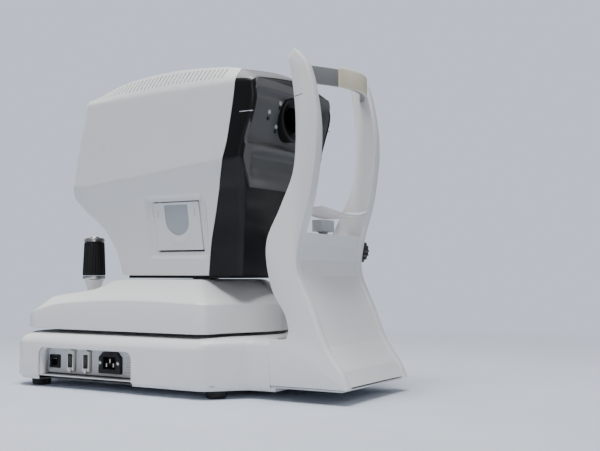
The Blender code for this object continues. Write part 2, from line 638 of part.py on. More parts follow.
def build_printer():
    half = DOOR_WIDTH / 2
    door = on_side_wall(box("printer_door", (-8, -half, 0), (-5.5, half, DOOR_HEIGHT), WHITE))
    cut(door, on_side_wall(prism("window_hole", window_outline(), "X", -12, 0)))
    window = on_side_wall(prism("door_window", window_outline(-GAP), "X", -7.6, -6.2, CLEAR))
    hinge = axis_empty("printer_door_axis", (side_wall_x(DOOR_HINGE_Z) - 6.6, DOOR_Y, DOOR_HINGE_Z + 1.3))
    hang(hinge, door, window)
    bracket = [(30, 190.4), (64, 190.4), (64, 193), (33, 193), (33, 236), (66, 236), (66, 252), (30, 252)]
    prism("printer_mechanism", bracket, "Y", -36, 36, DARK_GREY)
    cylinder("paper_roll", (53.5, DOOR_Y, 213.5), 19, 58, "Y", PAPER, sides=32)


# --- Assembly -----------------------------------------------------------------------------
def build_autorefractor():
    build_base()
    build_connectors()
    build_power_switch()
    build_rails()
    build_headrest()
    build_forehead_rest()
    build_chin_rest()
    build_chin_knob()
    build_carriage()
    build_stage()
    build_joystick()
    build_head_casing()
    build_head_inside()
    build_printer()


build_autorefractor()
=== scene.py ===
"""Looks of the autorefractor: fine shells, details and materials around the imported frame.

Sizes are in millimetres in the part's own frame (+X operator's right, +Y towards the patient,
+Z up). MM turns them into Blender's metres.
"""
import math

import bmesh
import bpy
import numpy as np
from mathutils import Matrix, Vector


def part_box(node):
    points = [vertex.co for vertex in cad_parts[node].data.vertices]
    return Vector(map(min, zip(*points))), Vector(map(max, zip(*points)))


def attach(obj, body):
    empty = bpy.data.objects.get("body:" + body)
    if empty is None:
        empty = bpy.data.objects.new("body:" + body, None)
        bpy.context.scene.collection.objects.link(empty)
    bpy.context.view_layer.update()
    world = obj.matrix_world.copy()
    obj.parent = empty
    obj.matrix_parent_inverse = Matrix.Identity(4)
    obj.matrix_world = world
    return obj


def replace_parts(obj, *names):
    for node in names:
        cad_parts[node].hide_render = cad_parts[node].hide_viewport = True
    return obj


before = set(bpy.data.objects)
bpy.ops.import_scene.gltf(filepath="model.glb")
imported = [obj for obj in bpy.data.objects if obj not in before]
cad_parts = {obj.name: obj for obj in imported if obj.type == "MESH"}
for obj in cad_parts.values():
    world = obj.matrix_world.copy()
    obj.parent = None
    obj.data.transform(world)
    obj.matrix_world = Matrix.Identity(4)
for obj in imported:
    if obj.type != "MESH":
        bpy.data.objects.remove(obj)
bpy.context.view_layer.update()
MM = 0.001


def span(node):
    """A CAD node's lowest and highest corner in millimetres."""
    low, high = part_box(node)
    return Vector(low) / MM, Vector(high) / MM


def add_object(name, data):
    obj = bpy.data.objects.new(name, data)
    bpy.context.scene.collection.objects.link(obj)
    return obj


# --- Camera, light and floor ---
CAMERA_AZIMUTH = 126.0
CAMERA_DISTANCE = 1275.0
CAMERA_HEIGHT = 154.0
LENS = 54.9
AIM_RIGHT = -5.5               # degrees the camera is panned away from the part's centre line
AIM_UP = 2.98


def make_camera():
    a = math.radians(CAMERA_AZIMUTH)
    out = Vector((math.sin(a), -math.cos(a), 0))
    data = bpy.data.cameras.new("camera")
    data.lens = LENS
    data.sensor_width = 36
    camera = add_object("camera", data)
    camera.location = (out * CAMERA_DISTANCE + Vector((0, 0, CAMERA_HEIGHT))) * MM
    look = Matrix.Rotation(math.radians(AIM_RIGHT), 3, "Z") @ -out
    look.z = math.tan(math.radians(AIM_UP))
    camera.rotation_euler = look.to_track_quat("-Z", "Y").to_euler()
    data.clip_end = 20
    bpy.context.scene.camera = camera


def area_light(name, location, target, size, power):
    data = bpy.data.lights.new(name, "AREA")
    data.shape = "RECTANGLE"
    data.size, data.size_y = size
    data.energy = power
    light = add_object(name, data)
    light.location = location
    light.rotation_euler = (Vector(target) - Vector(location)).to_track_quat("-Z", "Y").to_euler()


BACKDROP = (0.74, 0.82, 0.98)
FLOOR_FADE = (0.55, 1.5)       # metres: the floor fades into the backdrop between these radii
FLOOR_RADIUS = 1.6
# Name, place, target, size (metres) and power (watts) of each light
LIGHTS = [("key", (0.55, 0.05, 2.5), (0, 0, 0.2), (1.5, 1.5), 92),
          ("side", (2.2, 1.5, 0.9), (0, 0, 0.25), (1.0, 1.2), 7),
          ("front", (-0.3, -2.4, 1.5), (0, 0, 0.2), (1.6, 1.2), 11),
          ("back", (-1.5, 1.9, 1.7), (0, 0, 0.2), (1.5, 1.2), 14)]


def make_world():
    """Dim, even studio light, with a paler backdrop where the background is seen directly."""
    world = bpy.data.worlds.new("world")
    bpy.context.scene.world = world
    world.use_nodes = True
    tree = world.node_tree
    fill = tree.nodes["Background"]
    fill.inputs["Color"].default_value = (0.60, 0.64, 0.70, 1)
    fill.inputs["Strength"].default_value = 0.27
    seen = node(tree, "Background", Color=(*BACKDROP, 1), Strength=1.0)
    path = node(tree, "LightPath")
    blend(tree, (path, "Is Camera Ray"), fill, seen, tree.nodes["World Output"])


def floor_paint():
    """Pale paint that fades away into the backdrop around the object."""
    material = surface("floor_paint", (0.62, 0.67, 0.76), 0.75, mottle=0.03, grain_scale=40, grain=0.01)
    tree = material.node_tree
    shader = tree.nodes["Principled BSDF"]
    where = node(tree, "TexCoord")
    length = node(tree, "VectorMath", operation="LENGTH")
    wire(tree, where, "Object", length, 0)
    fade = node(tree, "MapRange", interpolation_type="SMOOTHSTEP", Value=(length, "Value"),
                From_Min=FLOOR_FADE[0], From_Max=FLOOR_FADE[1])
    blend(tree, (fade, "Result"), shader, node(tree, "BsdfTransparent"), tree.nodes["Material Output"])
    return material


def make_stage():
    make_world()
    for light in LIGHTS:
        area_light(*light)
    bpy.ops.mesh.primitive_circle_add(vertices=96, radius=FLOOR_RADIUS, fill_type="NGON",
                                      location=(0, 0, -0.0005))
    floor = bpy.context.object
    floor.name = "floor"
    floor.data.materials.append(floor_paint())


# --- Materials ---
def node(tree, kind, **values):
    """A shader node with its settings. A socket's value may be the (node, output) that feeds it."""
    made = tree.nodes.new("ShaderNode" + kind)
    for key, value in values.items():
        socket = made.inputs.get(key.replace("_", " "))
        if socket is None:
            setattr(made, key, value)
        elif isinstance(value, tuple) and isinstance(value[1], str):
            tree.links.new(value[0].outputs[value[1]], socket)
        else:
            socket.default_value = value
    return made


def wire(tree, source, output, target, socket):
    tree.links.new(source.outputs[output], target.inputs[socket])


def blend(tree, share, first, second, output):
    """Send a mix of two shaders to the output."""
    mix = node(tree, "MixShader", Fac=share)
    wire(tree, first, 0, mix, 1)
    wire(tree, second, 0, mix, 2)
    wire(tree, mix, 0, output, "Surface")


def paint_ramp(ramp, stops):
    """Fill a colour ramp from (place, colour) stops."""
    elements = ramp.color_ramp.elements
    elements[0].position, elements[1].position = stops[0][0], stops[-1][0]
    elements[0].color, elements[1].color = (*stops[0][1], 1), (*stops[-1][1], 1)
    for place, colour in stops[1:-1]:
        elements.new(place).color = (*colour, 1)


def surface(name, colour, roughness, metallic=0.0, mottle=0.04, mottle_scale=9.0, grain_scale=900.0,
            grain=0.05, rough_spread=0.06, coat=0.0, stretch=(1, 1, 1), **sockets):
    """A moulded or machined surface: mottled colour, uneven gloss and a fine grain."""
    material = bpy.data.materials.new(name)
    material.use_nodes = True
    tree = material.node_tree
    shader = tree.nodes["Principled BSDF"]
    shader.inputs["Metallic"].default_value = metallic
    shader.inputs["Coat Weight"].default_value = coat
    for key, value in sockets.items():
        shader.inputs[key.replace("_", " ")].default_value = value
    scaled = node(tree, "Mapping", Vector=(node(tree, "TexCoord"), "Object"), Scale=stretch)
    cloud = node(tree, "TexNoise", Vector=(scaled, "Vector"), Scale=mottle_scale, Detail=4.0)
    ramp = node(tree, "ValToRGB", Fac=(cloud, "Fac"))
    paint_ramp(ramp, [(0.3, [c * (1 - mottle) for c in colour]),
                      (0.7, [min(1.0, c * (1 + mottle)) for c in colour])])
    wire(tree, ramp, "Color", shader, "Base Color")
    fine = node(tree, "TexNoise", Vector=(scaled, "Vector"), Scale=grain_scale, Detail=3.0)
    gloss = node(tree, "MapRange", Value=(fine, "Fac"), To_Min=max(0.02, roughness - rough_spread),
                 To_Max=min(1.0, roughness + rough_spread))
    wire(tree, gloss, "Result", shader, "Roughness")
    bump = node(tree, "Bump", Strength=grain, Distance=0.0002, Height=(fine, "Fac"))
    wire(tree, bump, "Normal", shader, "Normal")
    return material


def glowing(name, colour, strength):
    """A lit mark on the screen, a little uneven."""
    material = surface(name, colour, 0.3, mottle=0.05, mottle_scale=60)
    shader = material.node_tree.nodes["Principled BSDF"]
    shader.inputs["Emission Color"].default_value = (*colour, 1)
    shader.inputs["Emission Strength"].default_value = strength
    return material


WHITE = surface("white_plastic", (0.82, 0.82, 0.825), 0.36, mottle=0.012, grain=0.06, coat=0.12)
WHITE_SATIN = surface("white_satin_plastic", (0.78, 0.785, 0.79), 0.45, mottle=0.015, grain=0.09)
# Light grey: real grey parts and print, and also painted shade on the connector panel and the door's latch
# grooves.
LIGHT_GREY = surface("light_grey_panel", (0.60, 0.61, 0.62), 0.45, mottle=0.03, grain=0.08)
BLACK = surface("black_plastic", (0.006, 0.006, 0.0065), 0.34, mottle=0.2, grain=0.05, coat=0.08,
                Specular_IOR_Level=0.35)
BLACK_SATIN = surface("black_satin_plastic", (0.008, 0.008, 0.0085), 0.46, mottle=0.2, grain=0.15,
                      Specular_IOR_Level=0.35)
DARK_GREY = surface("dark_grey_plastic", (0.075, 0.077, 0.080), 0.42, mottle=0.08, grain=0.14)
FACE_GREY = surface("face_grey_plastic", (0.105, 0.107, 0.110), 0.45, mottle=0.06, grain=0.14)
MID_GREY = surface("mid_grey_plastic", (0.24, 0.245, 0.25), 0.42, mottle=0.06, grain=0.12)
RUBBER = surface("rubber", (0.014, 0.014, 0.014), 0.8, mottle=0.25, grain=0.5, grain_scale=500)
STEEL = surface("steel", (0.55, 0.55, 0.56), 0.28, metallic=1.0, mottle=0.06, grain=0.12,
                mottle_scale=50, stretch=(1, 12, 12))
SATIN_METAL = surface("satin_aluminium", (0.66, 0.665, 0.67), 0.33, metallic=1.0, mottle=0.04, grain=0.10)
PLATED = surface("plated_metal", (0.62, 0.60, 0.55), 0.25, metallic=1.0, mottle=0.05)
GLASS = surface("coated_glass", (0.006, 0.007, 0.012), 0.06, mottle=0.3, grain=0.0, rough_spread=0.02,
                coat=0.3)
SILICONE = surface("silicone", (0.80, 0.74, 0.58), 0.4, mottle=0.06, mottle_scale=25, grain=0.15,
                   Subsurface_Weight=0.4, Subsurface_Radius=(0.006, 0.005, 0.003))
MILKY = surface("milky_plastic", (0.80, 0.82, 0.83), 0.3, mottle=0.03, grain=0.08,
                Transmission_Weight=0.25, Subsurface_Weight=0.2)
WINDOW = surface("smoked_window", (0.62, 0.66, 0.70), 0.18, mottle=0.03, grain=0.03, Transmission_Weight=0.35)
BOARD = surface("circuit_board", (0.02, 0.17, 0.07), 0.45, mottle=0.5, mottle_scale=180, grain=0.3)
PAPER = surface("thermal_paper", (0.85, 0.85, 0.83), 0.85, mottle=0.03, grain=0.4, grain_scale=700)

SLOTS = {"white_casing": (WHITE, WHITE_SATIN), "black_casing": (BLACK, BLACK_SATIN),
         "grey_casing": (LIGHT_GREY, MID_GREY, FACE_GREY), "steel": (STEEL, PLATED),
         "clear_plastic": (MILKY, WINDOW), "glass": (GLASS,), "aluminium": (SATIN_METAL,),
         "silicone": (SILICONE,), "rubber": (RUBBER,)}
SLOT_OF = {material.name: slot for slot, materials in SLOTS.items() for material in materials}


# --- Mesh helpers ---
def new_piece(name, verts, faces, material, body, slot=None, smooth=32):
    """A mesh from points in millimetres, riding on a body. Its slot is not used."""
    mesh = bpy.data.meshes.new(name)
    mesh.from_pydata([Vector(v) * MM for v in verts], [], faces)
    bm = bmesh.new()
    bm.from_mesh(mesh)
    bmesh.ops.remove_doubles(bm, verts=bm.verts, dist=0.000002)
    bmesh.ops.recalc_face_normals(bm, faces=bm.faces)
    bm.to_mesh(mesh)
    bm.free()
    obj = add_object(name, mesh)
    if smooth:
        mesh.shade_smooth()
        sharpen(obj, smooth)
    if material:
        mesh.materials.append(material)
        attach(obj, body)
        slot or SLOT_OF[material.name]
    return obj


def sharpen(obj, angle):
    """Shade edges above the angle as sharp."""
    obj.data.set_sharp_from_angle(angle=math.radians(angle))


def face_outward(obj, outward):
    """Turn an open sheet over if outward(face) is negative for most of its faces."""
    bm = bmesh.new()
    bm.from_mesh(obj.data)
    if sum(1 if outward(face) >= 0 else -1 for face in bm.faces) < 0:
        bmesh.ops.reverse_faces(bm, faces=bm.faces)
    bm.to_mesh(obj.data)
    bm.free()



def bake(obj):
    """Apply the object's modifiers to its mesh."""
    graph = bpy.context.evaluated_depsgraph_get()
    mesh = bpy.data.meshes.new_from_object(obj.evaluated_get(graph))
    obj.modifiers.clear()
    old = obj.data
    obj.data = mesh
    bpy.data.meshes.remove(old)
    return obj


def carve(obj, *shapes, tolerant=False, sharp=None):
    """Cut the object by shapes, each given as (points, faces)."""
    cutters = [new_piece("cutter", *shape, None, None, smooth=0) for shape in shapes]
    for cutter in cutters:
        modifier = obj.modifiers.new("carve", "BOOLEAN")
        modifier.operation = "DIFFERENCE"
        modifier.object = cutter
        modifier.solver = "EXACT"
        modifier.use_self = tolerant
        modifier.use_hole_tolerant = tolerant
    bake(obj)
    for cutter in cutters:
        bpy.data.objects.remove(cutter, do_unlink=True)
    if sharp:
        sharpen(obj, sharp)
    return obj


def soften(obj, width, segments=3, angle=40):
    bevel = obj.modifiers.new("soft_edges", "BEVEL")
    bevel.width = width * MM
    bevel.segments = segments
    bevel.limit_method = "ANGLE"
    bevel.angle_limit = math.radians(angle)
    bevel.harden_normals = True
    return obj


def thicken(obj, thickness):
    solid = obj.modifiers.new("wall", "SOLIDIFY")
    solid.thickness = thickness * MM
    solid.offset = -1
    solid.use_even_offset = False
    return obj


PLACE = {"X": lambda a, b, t: (t, a, b), "Y": lambda a, b, t: (a, t, b), "Z": lambda a, b, t: (a, b, t)}


def prism_faces(count):
    """Both ends and the sides between two outlines of the same length."""
    sides = [(i, i + count, (i + 1) % count + count, (i + 1) % count) for i in range(count)]
    return [tuple(range(count)), tuple(range(2 * count - 1, count - 1, -1))] + sides


def prism_data(outline, axis, start, end):
    put = PLACE[axis]
    return [put(a, b, t) for t in (start, end) for a, b in outline], prism_faces(len(outline))


def box_data(low, high):
    (x0, y0, z0), (x1, y1, z1) = low, high
    return prism_data([(x0, y0), (x1, y0), (x1, y1), (x0, y1)], "Z", z0, z1)


def strip_faces(rows, count):
    """Faces between rows of count points, each row closed in a ring."""
    return [(start + i, start + (i + 1) % count, start + count + (i + 1) % count, start + count + i)
            for start in range(0, (rows - 1) * count, count) for i in range(count)]


def turned_data(profile, centre, axis="Z", steps=64, radius=None):
    """Turn an open or closed (radius, height) profile. radius(angle, r) may shape flutes."""
    put = {"X": lambda x, y, h: (h, x, y), "Y": lambda x, y, h: (y, h, x),
           "Z": lambda x, y, h: (x, y, h)}[axis]
    verts = []
    for r, h in profile:
        for i in range(steps):
            angle = 2 * math.pi * i / steps
            size = radius(angle, r) if radius else r
            offset = put(size * math.cos(angle), size * math.sin(angle), h)
            verts.append(tuple(c + d for c, d in zip(centre, offset)))
    rows = len(profile)
    faces = strip_faces(rows, steps)
    if profile[0][0] > 0.01:
        faces.append(tuple(range(steps)))
    if profile[-1][0] > 0.01:
        faces.append(tuple(range((rows - 1) * steps, rows * steps))[::-1])
    return verts, faces


def turned(name, profile, centre, axis, steps, material, body, slot=None, smooth=32, radius=None):
    return new_piece(name, *turned_data(profile, centre, axis, steps, radius), material, body, slot, smooth)


def rings_data(rings, close_top=True, close_bottom=True):
    """Join rings of equal length into a skin."""
    count = len(rings[0])
    verts = [p for ring in rings for p in ring]
    faces = strip_faces(len(rings), count)
    if close_bottom:
        faces.append(tuple(range(count))[::-1])
    if close_top:
        faces.append(tuple(range((len(rings) - 1) * count, len(rings) * count)))
    return verts, faces


def relief(name, rows, columns, place, outward, thickness, material, body):
    """A moulded sheet through the points place(row share, column share), thickened inwards."""
    verts = [place(row / rows, column / columns) for row in range(rows + 1) for column in range(columns + 1)]
    starts = [row * (columns + 1) + column for row in range(rows) for column in range(columns)]
    faces = [(a, a + 1, a + columns + 2, a + columns + 1) for a in starts]
    sheet = new_piece(name, verts, faces, material, body, smooth=30)
    face_outward(sheet, outward)
    return bake(thicken(sheet, thickness))


def smooth_curve(points, steps=6):
    """A smooth curve through a few points (Catmull-Rom)."""
    result = []
    padded = [points[0]] + points + [points[-1]]
    for p0, p1, p2, p3 in zip(padded, padded[1:], padded[2:], padded[3:]):
        for i in range(steps):
            t = i / steps
            result.append(tuple(
                0.5 * (2 * b + (c - a) * t + (2 * a - 5 * b + 4 * c - d) * t ** 2
                       + (3 * b - a - 3 * c + d) * t ** 3)
                for a, b, c, d in zip(p0, p1, p2, p3)))
    result.append(points[-1])
    return result


def follow(points, axis=1):
    """A function that reads a curve given as points, by its first or second coordinate."""
    ordered = sorted(points, key=lambda p: p[axis])
    keys = [p[axis] for p in ordered]
    values = [p[1 - axis] for p in ordered]
    return lambda t: float(np.interp(t, keys, values))


def arc(centre_x, centre_y, radius, start, end, count=10):
    angles = [math.radians(start + (end - start) * i / count) for i in range(count + 1)]
    return [(centre_x + radius * math.cos(a), centre_y + radius * math.sin(a)) for a in angles]


def rounded_box(half_a, half_b, radius, count=6):
    """A rounded rectangle about the origin."""
    a, b = half_a - radius, half_b - radius
    return (arc(a, b, radius, 0, 90, count) + arc(-a, b, radius, 90, 180, count)
            + arc(-a, -b, radius, 180, 270, count) + arc(a, -b, radius, 270, 360, count))


def mirrored(half):
    return half + [(-a, b) for a, b in reversed(half)]


def ease(low, high, value):
    """Smooth step from 0 at low to 1 at high."""
    t = min(1.0, max(0.0, (value - low) / (high - low)))
    return t * t * (3 - 2 * t)


# --- Head ---
HEAD_BOTTOM = 151.0
CREASE_Z = 283.0
LOWER_CREASE_Z = 251.0
BOX_TOP = 400.0                # height of the unshaped head block's top face
EDGE_Y = 109.0                 # unshaped place of the joint between white and dark casing
FRONT_Y, REAR_Y = -170.0, 140.0
ROOF_EDGE = 87.0               # half-width of the roof; the vent band lies outside it
EDGE_ROUND = 6.0
OPTICAL_Z = 356.0
RIM_SETBACK = 2.0              # the black front stands this proud of the white rim
REAR_BOW = 4.0                 # how far the rear corners lie in front of the middle

FRONT_LINE = [(-103, 151), (-109, 176), (-121, 202), (-138, 227), (-157, 247), (-168.5, 258), (-173.5, 267),
              (-172, 280), (-162, 328), (-149, 372), (-144, 396), (-142, 430)]
REAR_LINE = [(103, 151), (112, 230), (121, 301), (133, 345), (139, 370), (138, 386), (136, 430)]
JOINT_LINE = [(51, 151), (59, 197), (77, 247), (95, 298), (102, 343), (109, 390), (110, 430)]
WALL_LINE = [(73, 151), (74.8, 171), (77.4, 193), (80.6, 215), (85.0, 234), (89.4, 251), (93.3, 262),
             (99.9, 283), (100, 283.5), (100, 430)]
# How far the side's two creases rise above their mean height along the head, as (Y, rise)
CREASE_RISE = [(-180, -17), (-165, -15), (-120, -8.5), (-80, -4), (-40, 0), (10, 6), (50, 10.5),
               (95, 14.5), (140, 17)]
CROWN_LINE = [(-140, 404), (-80, 421), (-15, 427.7), (50, 427.2), (104, 421.5), (138, 408)]
SIDE_TOP_LINE = [(-146, 389), (-40, 394), (110, 397), (138, 393)]

front_y = follow(smooth_curve(FRONT_LINE, 4))
rear_y = follow(smooth_curve(REAR_LINE, 4))
joint_y = follow(smooth_curve(JOINT_LINE, 4))
wall_x = follow(smooth_curve(WALL_LINE[:6], 4) + WALL_LINE[6:])
crease_rise = follow(smooth_curve(CREASE_RISE, 4), axis=0)
crown_z = follow(smooth_curve(CROWN_LINE, 6), axis=0)
side_top_z = follow(smooth_curve(SIDE_TOP_LINE, 6), axis=0)


def roof_z(x, y):
    """Height of the head's top: a shallow ridge, then the steep vent band out to the side edge."""
    across = abs(x)
    crown = crown_z(y)
    drop = 9.0 * (across / ROOF_EDGE) ** 1.25
    if across <= ROOF_EDGE:
        return crown - drop
    share = (across - ROOF_EDGE) / (100.0 - ROOF_EDGE)
    return crown - 9.0 + (side_top_z(y) - crown + 9.0) * min(1.0, share)


def place_y(y, z):
    """Real Y of a point of the plain block that lies at height z."""
    if y < EDGE_Y:
        return front_y(z) + (y - FRONT_Y) / (EDGE_Y - FRONT_Y) * (joint_y(z) - front_y(z))
    return joint_y(z) + (y - EDGE_Y) / (REAR_Y - EDGE_Y) * (rear_y(z) - joint_y(z))


def shape_head(x, y, z):
    """Bend a point of the plain head block to the real head."""
    rough_y, rough_z = y, z
    in_front = ease(-140, FRONT_Y + 8, rough_y)
    side = 1 if x > 0 else -1
    across = abs(x)
    corner = ease(BEZEL_TOP - 14, BEZEL_TOP, z) ** 2 * ease(BOX_TOP, BEZEL_TOP + 2, z)
    x -= side * 7 * corner * ease(62, BEZEL_X, across) * ease(100, BEZEL_X + 2, across) * in_front
    if z > 300:
        z = 300 + (z - 300) / (BOX_TOP - 300) * (roof_z(x, place_y(y, BOX_TOP)) - 300)
    y = place_y(y, z)
    width = wall_x(z) / 100.0
    bow_front = 2.5 * (abs(x) / 100) ** 2 * ease(EDGE_Y, FRONT_Y, rough_y)
    bow_rear = REAR_BOW * (abs(x) / 100) ** 2.5 * ease(60, REAR_Y, rough_y)
    level = ease(178, CREASE_Z, z) if z < CREASE_Z else ease(362, CREASE_Z, z)
    at_side = ease(BEZEL_X + 1, 98, across)
    rim = RIM_SETBACK * ease(BEZEL_X - 0.1, BEZEL_X + 0.1, across)
    rim *= ease(BEZEL_TOP + 4, BEZEL_TOP - 4, rough_z)
    split = 7.0 * ease(58, 80, across) * ease(240, 262, rough_z) * ease(300, 276, rough_z)
    return (x * width, y + bow_front - bow_rear + rim * in_front,
            z + crease_rise(y) * level * at_side + split * in_front)


def round_block(point):
    """Round the plain block's edges."""
    low = Vector((-100, FRONT_Y, HEAD_BOTTOM - 20))
    high = Vector((100, REAR_Y, BOX_TOP))
    inner = Vector([min(max(p, a + EDGE_ROUND), b - EDGE_ROUND) for p, a, b in zip(point, low, high)])
    out = Vector(point) - inner
    if out.length < 1e-6:
        return Vector(point)
    return inner + out.normalized() * EDGE_ROUND


def lines(low, high, step, *extra):
    """Grid lines between two ends, denser at the ends, with extra lines where pieces meet."""
    edge = [EDGE_ROUND * f for f in (0.0, 0.2, 0.42, 0.68, 1.0)]
    values = {low + e for e in edge} | {high - e for e in edge}
    count = max(1, round((high - low - 2 * EDGE_ROUND) / step))
    values |= {low + EDGE_ROUND + (high - low - 2 * EDGE_ROUND) * i / count for i in range(1, count)}
    extra = set(extra)
    kept = [v for v in values if all(abs(v - e) > 0.45 * min(step, 4) for e in extra) or v in (low, high)]
    return sorted(set(kept) | extra)


SEAM = 0.35                    # half the gap between two casing pieces
BEZEL_X = 89.0
BEZEL_TOP = 388.0
SPLIT_Z = 272.0                # between the screen surround and the lower front
WALL = 2.6                     # casing thickness
XS = lines(-100, 100, 8, -BEZEL_X - SEAM, -BEZEL_X + SEAM, BEZEL_X - SEAM, BEZEL_X + SEAM,
           -ROOF_EDGE, ROOF_EDGE, -SEAM, SEAM, 0)
YS = lines(FRONT_Y, REAR_Y, 8, EDGE_Y - SEAM, EDGE_Y + SEAM)
ZS = lines(HEAD_BOTTOM, BOX_TOP, 5, BEZEL_TOP - SEAM, BEZEL_TOP + SEAM, SPLIT_Z - SEAM, SPLIT_Z + SEAM,
           CREASE_Z, CREASE_Z + 1, LOWER_CREASE_Z, LOWER_CREASE_Z + 1)


def head_sheet(wanted):
    """The faces of the shaped block for which wanted(side, x, y, z) is true."""
    verts, faces, known = [], [], {}

    def vertex(i, j, k):
        if (i, j, k) not in known:
            known[(i, j, k)] = len(verts)
            verts.append(shape_head(*round_block((XS[i], YS[j], ZS[k]))))
        return known[(i, j, k)]

    nx, ny, nz = len(XS) - 1, len(YS) - 1, len(ZS) - 1
    sides = {"front": (nx, nz, lambda p, q: (p, 0, q)), "rear": (nx, nz, lambda p, q: (p, ny, q)),
             "left": (ny, nz, lambda p, q: (0, p, q)), "right": (ny, nz, lambda p, q: (nx, p, q)),
             "top": (nx, ny, lambda p, q: (p, q, nz))}
    for side, (na, nb, corner) in sides.items():
        for a in range(na):
            for b in range(nb):
                cells = [corner(a, b), corner(a + 1, b), corner(a + 1, b + 1), corner(a, b + 1)]
                middle = [sum(axis[c[n]] for c in cells) / 4 for n, axis in enumerate((XS, YS, ZS))]
                if wanted(side, *middle):
                    faces.append([vertex(*c) for c in cells])
    return verts, faces


def casing(name, material, node_name, wanted):
    """One moulded casing piece of the head."""
    obj = new_piece(name, *head_sheet(wanted), material, "head")
    middle = Vector((0, -10, 290)) * MM
    face_outward(obj, lambda face: face.normal.dot(face.calc_center_median() - middle))
    obj.data.shade_smooth()
    bake(thicken(obj, WALL))
    sharpen(obj, 38)
    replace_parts(obj, node_name)
    return obj


def build_head_casing():
    """All casing pieces. Returns the three that are cut later: right side, bezel and rear."""
    def white(sign):
        return lambda side, x, y, z: sign * x >= SEAM and y <= EDGE_Y - SEAM and (
            side in ("top", "left", "right")
            or (side == "front" and (abs(x) > BEZEL_X + SEAM or z > BEZEL_TOP + SEAM)))

    def black(low, high):
        return lambda side, x, y, z: side == "front" and abs(x) < BEZEL_X - SEAM and low < z < high

    def rear(*sides):
        return lambda side, x, y, z: y > EDGE_Y + SEAM and side in sides

    left = casing("left_side_shell", WHITE, "side_cover_left", white(-1))
    right = casing("right_side_shell", WHITE, "side_cover_right", white(1))
    carve(left, vent_slots(-1), sharp=38)
    carve(right, vent_slots(1), sharp=38)
    bezel = casing("screen_surround", BLACK, "screen_bezel", black(SPLIT_Z + SEAM, BEZEL_TOP - SEAM))
    casing("front_panel", BLACK, "lower_front_panel", black(0, SPLIT_Z - SEAM))
    flank = casing("rear_shell", BLACK, "rear_lower_cover", rear("left", "right", "rear"))
    casing("rear_top_shell", MID_GREY, "patient_face", rear("top"))
    return right, bezel, flank


SLOT_COUNT, SLOT_FIRST, SLOT_PITCH = 33, -126.0, 6.6


def vent_slots(sign):
    """A row of slanted slots along the band between the roof and the side."""
    verts, faces = [], []
    for n in range(SLOT_COUNT):
        y = SLOT_FIRST + SLOT_PITCH * n
        lower = Vector((98.2, y - 1.6, roof_z(98.2, y - 1.6)))
        upper = Vector((88.8, y + 3.4, roof_z(88.8, y + 3.4)))
        along = (upper - lower).normalized()
        start = lower + along * 1.2
        end = upper - along * 0.6
        wide = along.cross(Vector((0.75, 0, 0.66))).normalized() * 0.75
        out = wide.cross(along).normalized() * 6
        outline = (start - wide, start + wide, end + wide, end - wide)
        base = len(verts)
        verts += [(sign * c.x, c.y, c.z) for c in [p - out for p in outline] + [p + out for p in outline]]
        faces += [[base + i for i in face] for face in prism_faces(4)]
    return verts, faces


WALL_SLOPE = 11.13             # degrees the lower side wall leans out
DOOR_CORNER = Vector((76.64, 1.0, 183.0))
DOOR_HALF = 37.5
DOOR_HEIGHT = 64.0
WINDOW_BEND = 34.0             # height of the middle that the window's outline shrinks towards


def on_side_wall(points):
    """Place points from the printer door's frame, X out and Z up the wall, into the part's frame."""
    turn = Matrix.Rotation(math.radians(WALL_SLOPE), 3, "Y")
    return [tuple(DOOR_CORNER + turn @ Vector(p)) for p in points]


def slab(outline, low, high):
    """A flat plate in the door's frame from its (Y, Z) outline, X from low to high."""
    verts, faces = prism_data(outline, "X", low, high)
    return on_side_wall(verts), faces


def build_printer(shell):
    """The printer's recess in the right side, its door, window, finger lip and latches."""
    def outline(half, low, high, radius):
        return shift(rounded_box(half, (high - low) / 2, radius, 5), 0, (low + high) / 2)

    def window(size):
        edge = [(-20.5, 62.5), (20.5, 62.5)] + arc(0, 39.5, 20.5, 0, -180, 20)
        return [(size * a, WINDOW_BEND + size * (b - WINDOW_BEND)) for a, b in edge]

    carve(shell, slab(outline(49, -11.5, 75.5, 7), -20, 12), sharp=38)
    # (half width, low, high, corner radius, depth) from the rim, down the wall, to the door's opening
    steps = [(50.2, -12.7, 76.7, 8, -0.9), (48.6, -11.1, 75.1, 7, -0.5), (47.2, -9.7, 73.7, 6.2, -1.4),
             (45.2, -7.2, 71.2, 5, -5.4), (44.0, -6.0, 70.0, 4.4, -6.1), (38.6, -2.6, 65.2, 1.6, -6.2),
             (38.2, -2.2, 64.8, 1.3, -6.8), (38.2, -2.2, 64.8, 1.3, -10.5), (50.2, -12.7, 76.7, 8, -10.5)]
    rings = [[(depth, a, b) for a, b in outline(*sizes)] for *sizes, depth in steps]
    verts, faces = rings_data(rings + [rings[0]], close_top=False, close_bottom=False)
    new_piece("printer_recess", on_side_wall(verts), faces, WHITE, "head", smooth=50)
    plate = outline(DOOR_HALF - 0.2, 0.3, DOOR_HEIGHT - 0.2, 1.2)
    door = new_piece("paper_door", *slab(plate, -8.0, -5.2), WHITE, "door")
    carve(door, slab(window(1), -10, -6.4), slab(window(0.93), -12, 0))
    bake(soften(door, 0.35, 2))
    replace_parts(door, "printer_door")
    pane = new_piece("door_pane", *slab(window(0.985), -7.9, -6.6), WINDOW, "door")
    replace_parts(pane, "door_window")
    lip = arc(0, 22, 17, 200, 340, 14) + arc(0, 22, 14, 340, 200, 14)
    new_piece("finger_lip", *slab(lip, -6.5, -4.6), WHITE_SATIN, "door")
    for n, side in enumerate((-1, 1)):
        # The latch grooves are flat light grey strips on the white door: painted shade standing in for the
        # grooves' depth.
        groove = patch(0.7, 5, 0.6, side * 30, 50, 3)
        new_piece("door_latch_groove_shade_%d" % n, *slab(groove, -5.25, -5.0), LIGHT_GREY, "door", "white_casing")


CAP_PLACES = [(74, 312), (-110, 326), (38, 162)]


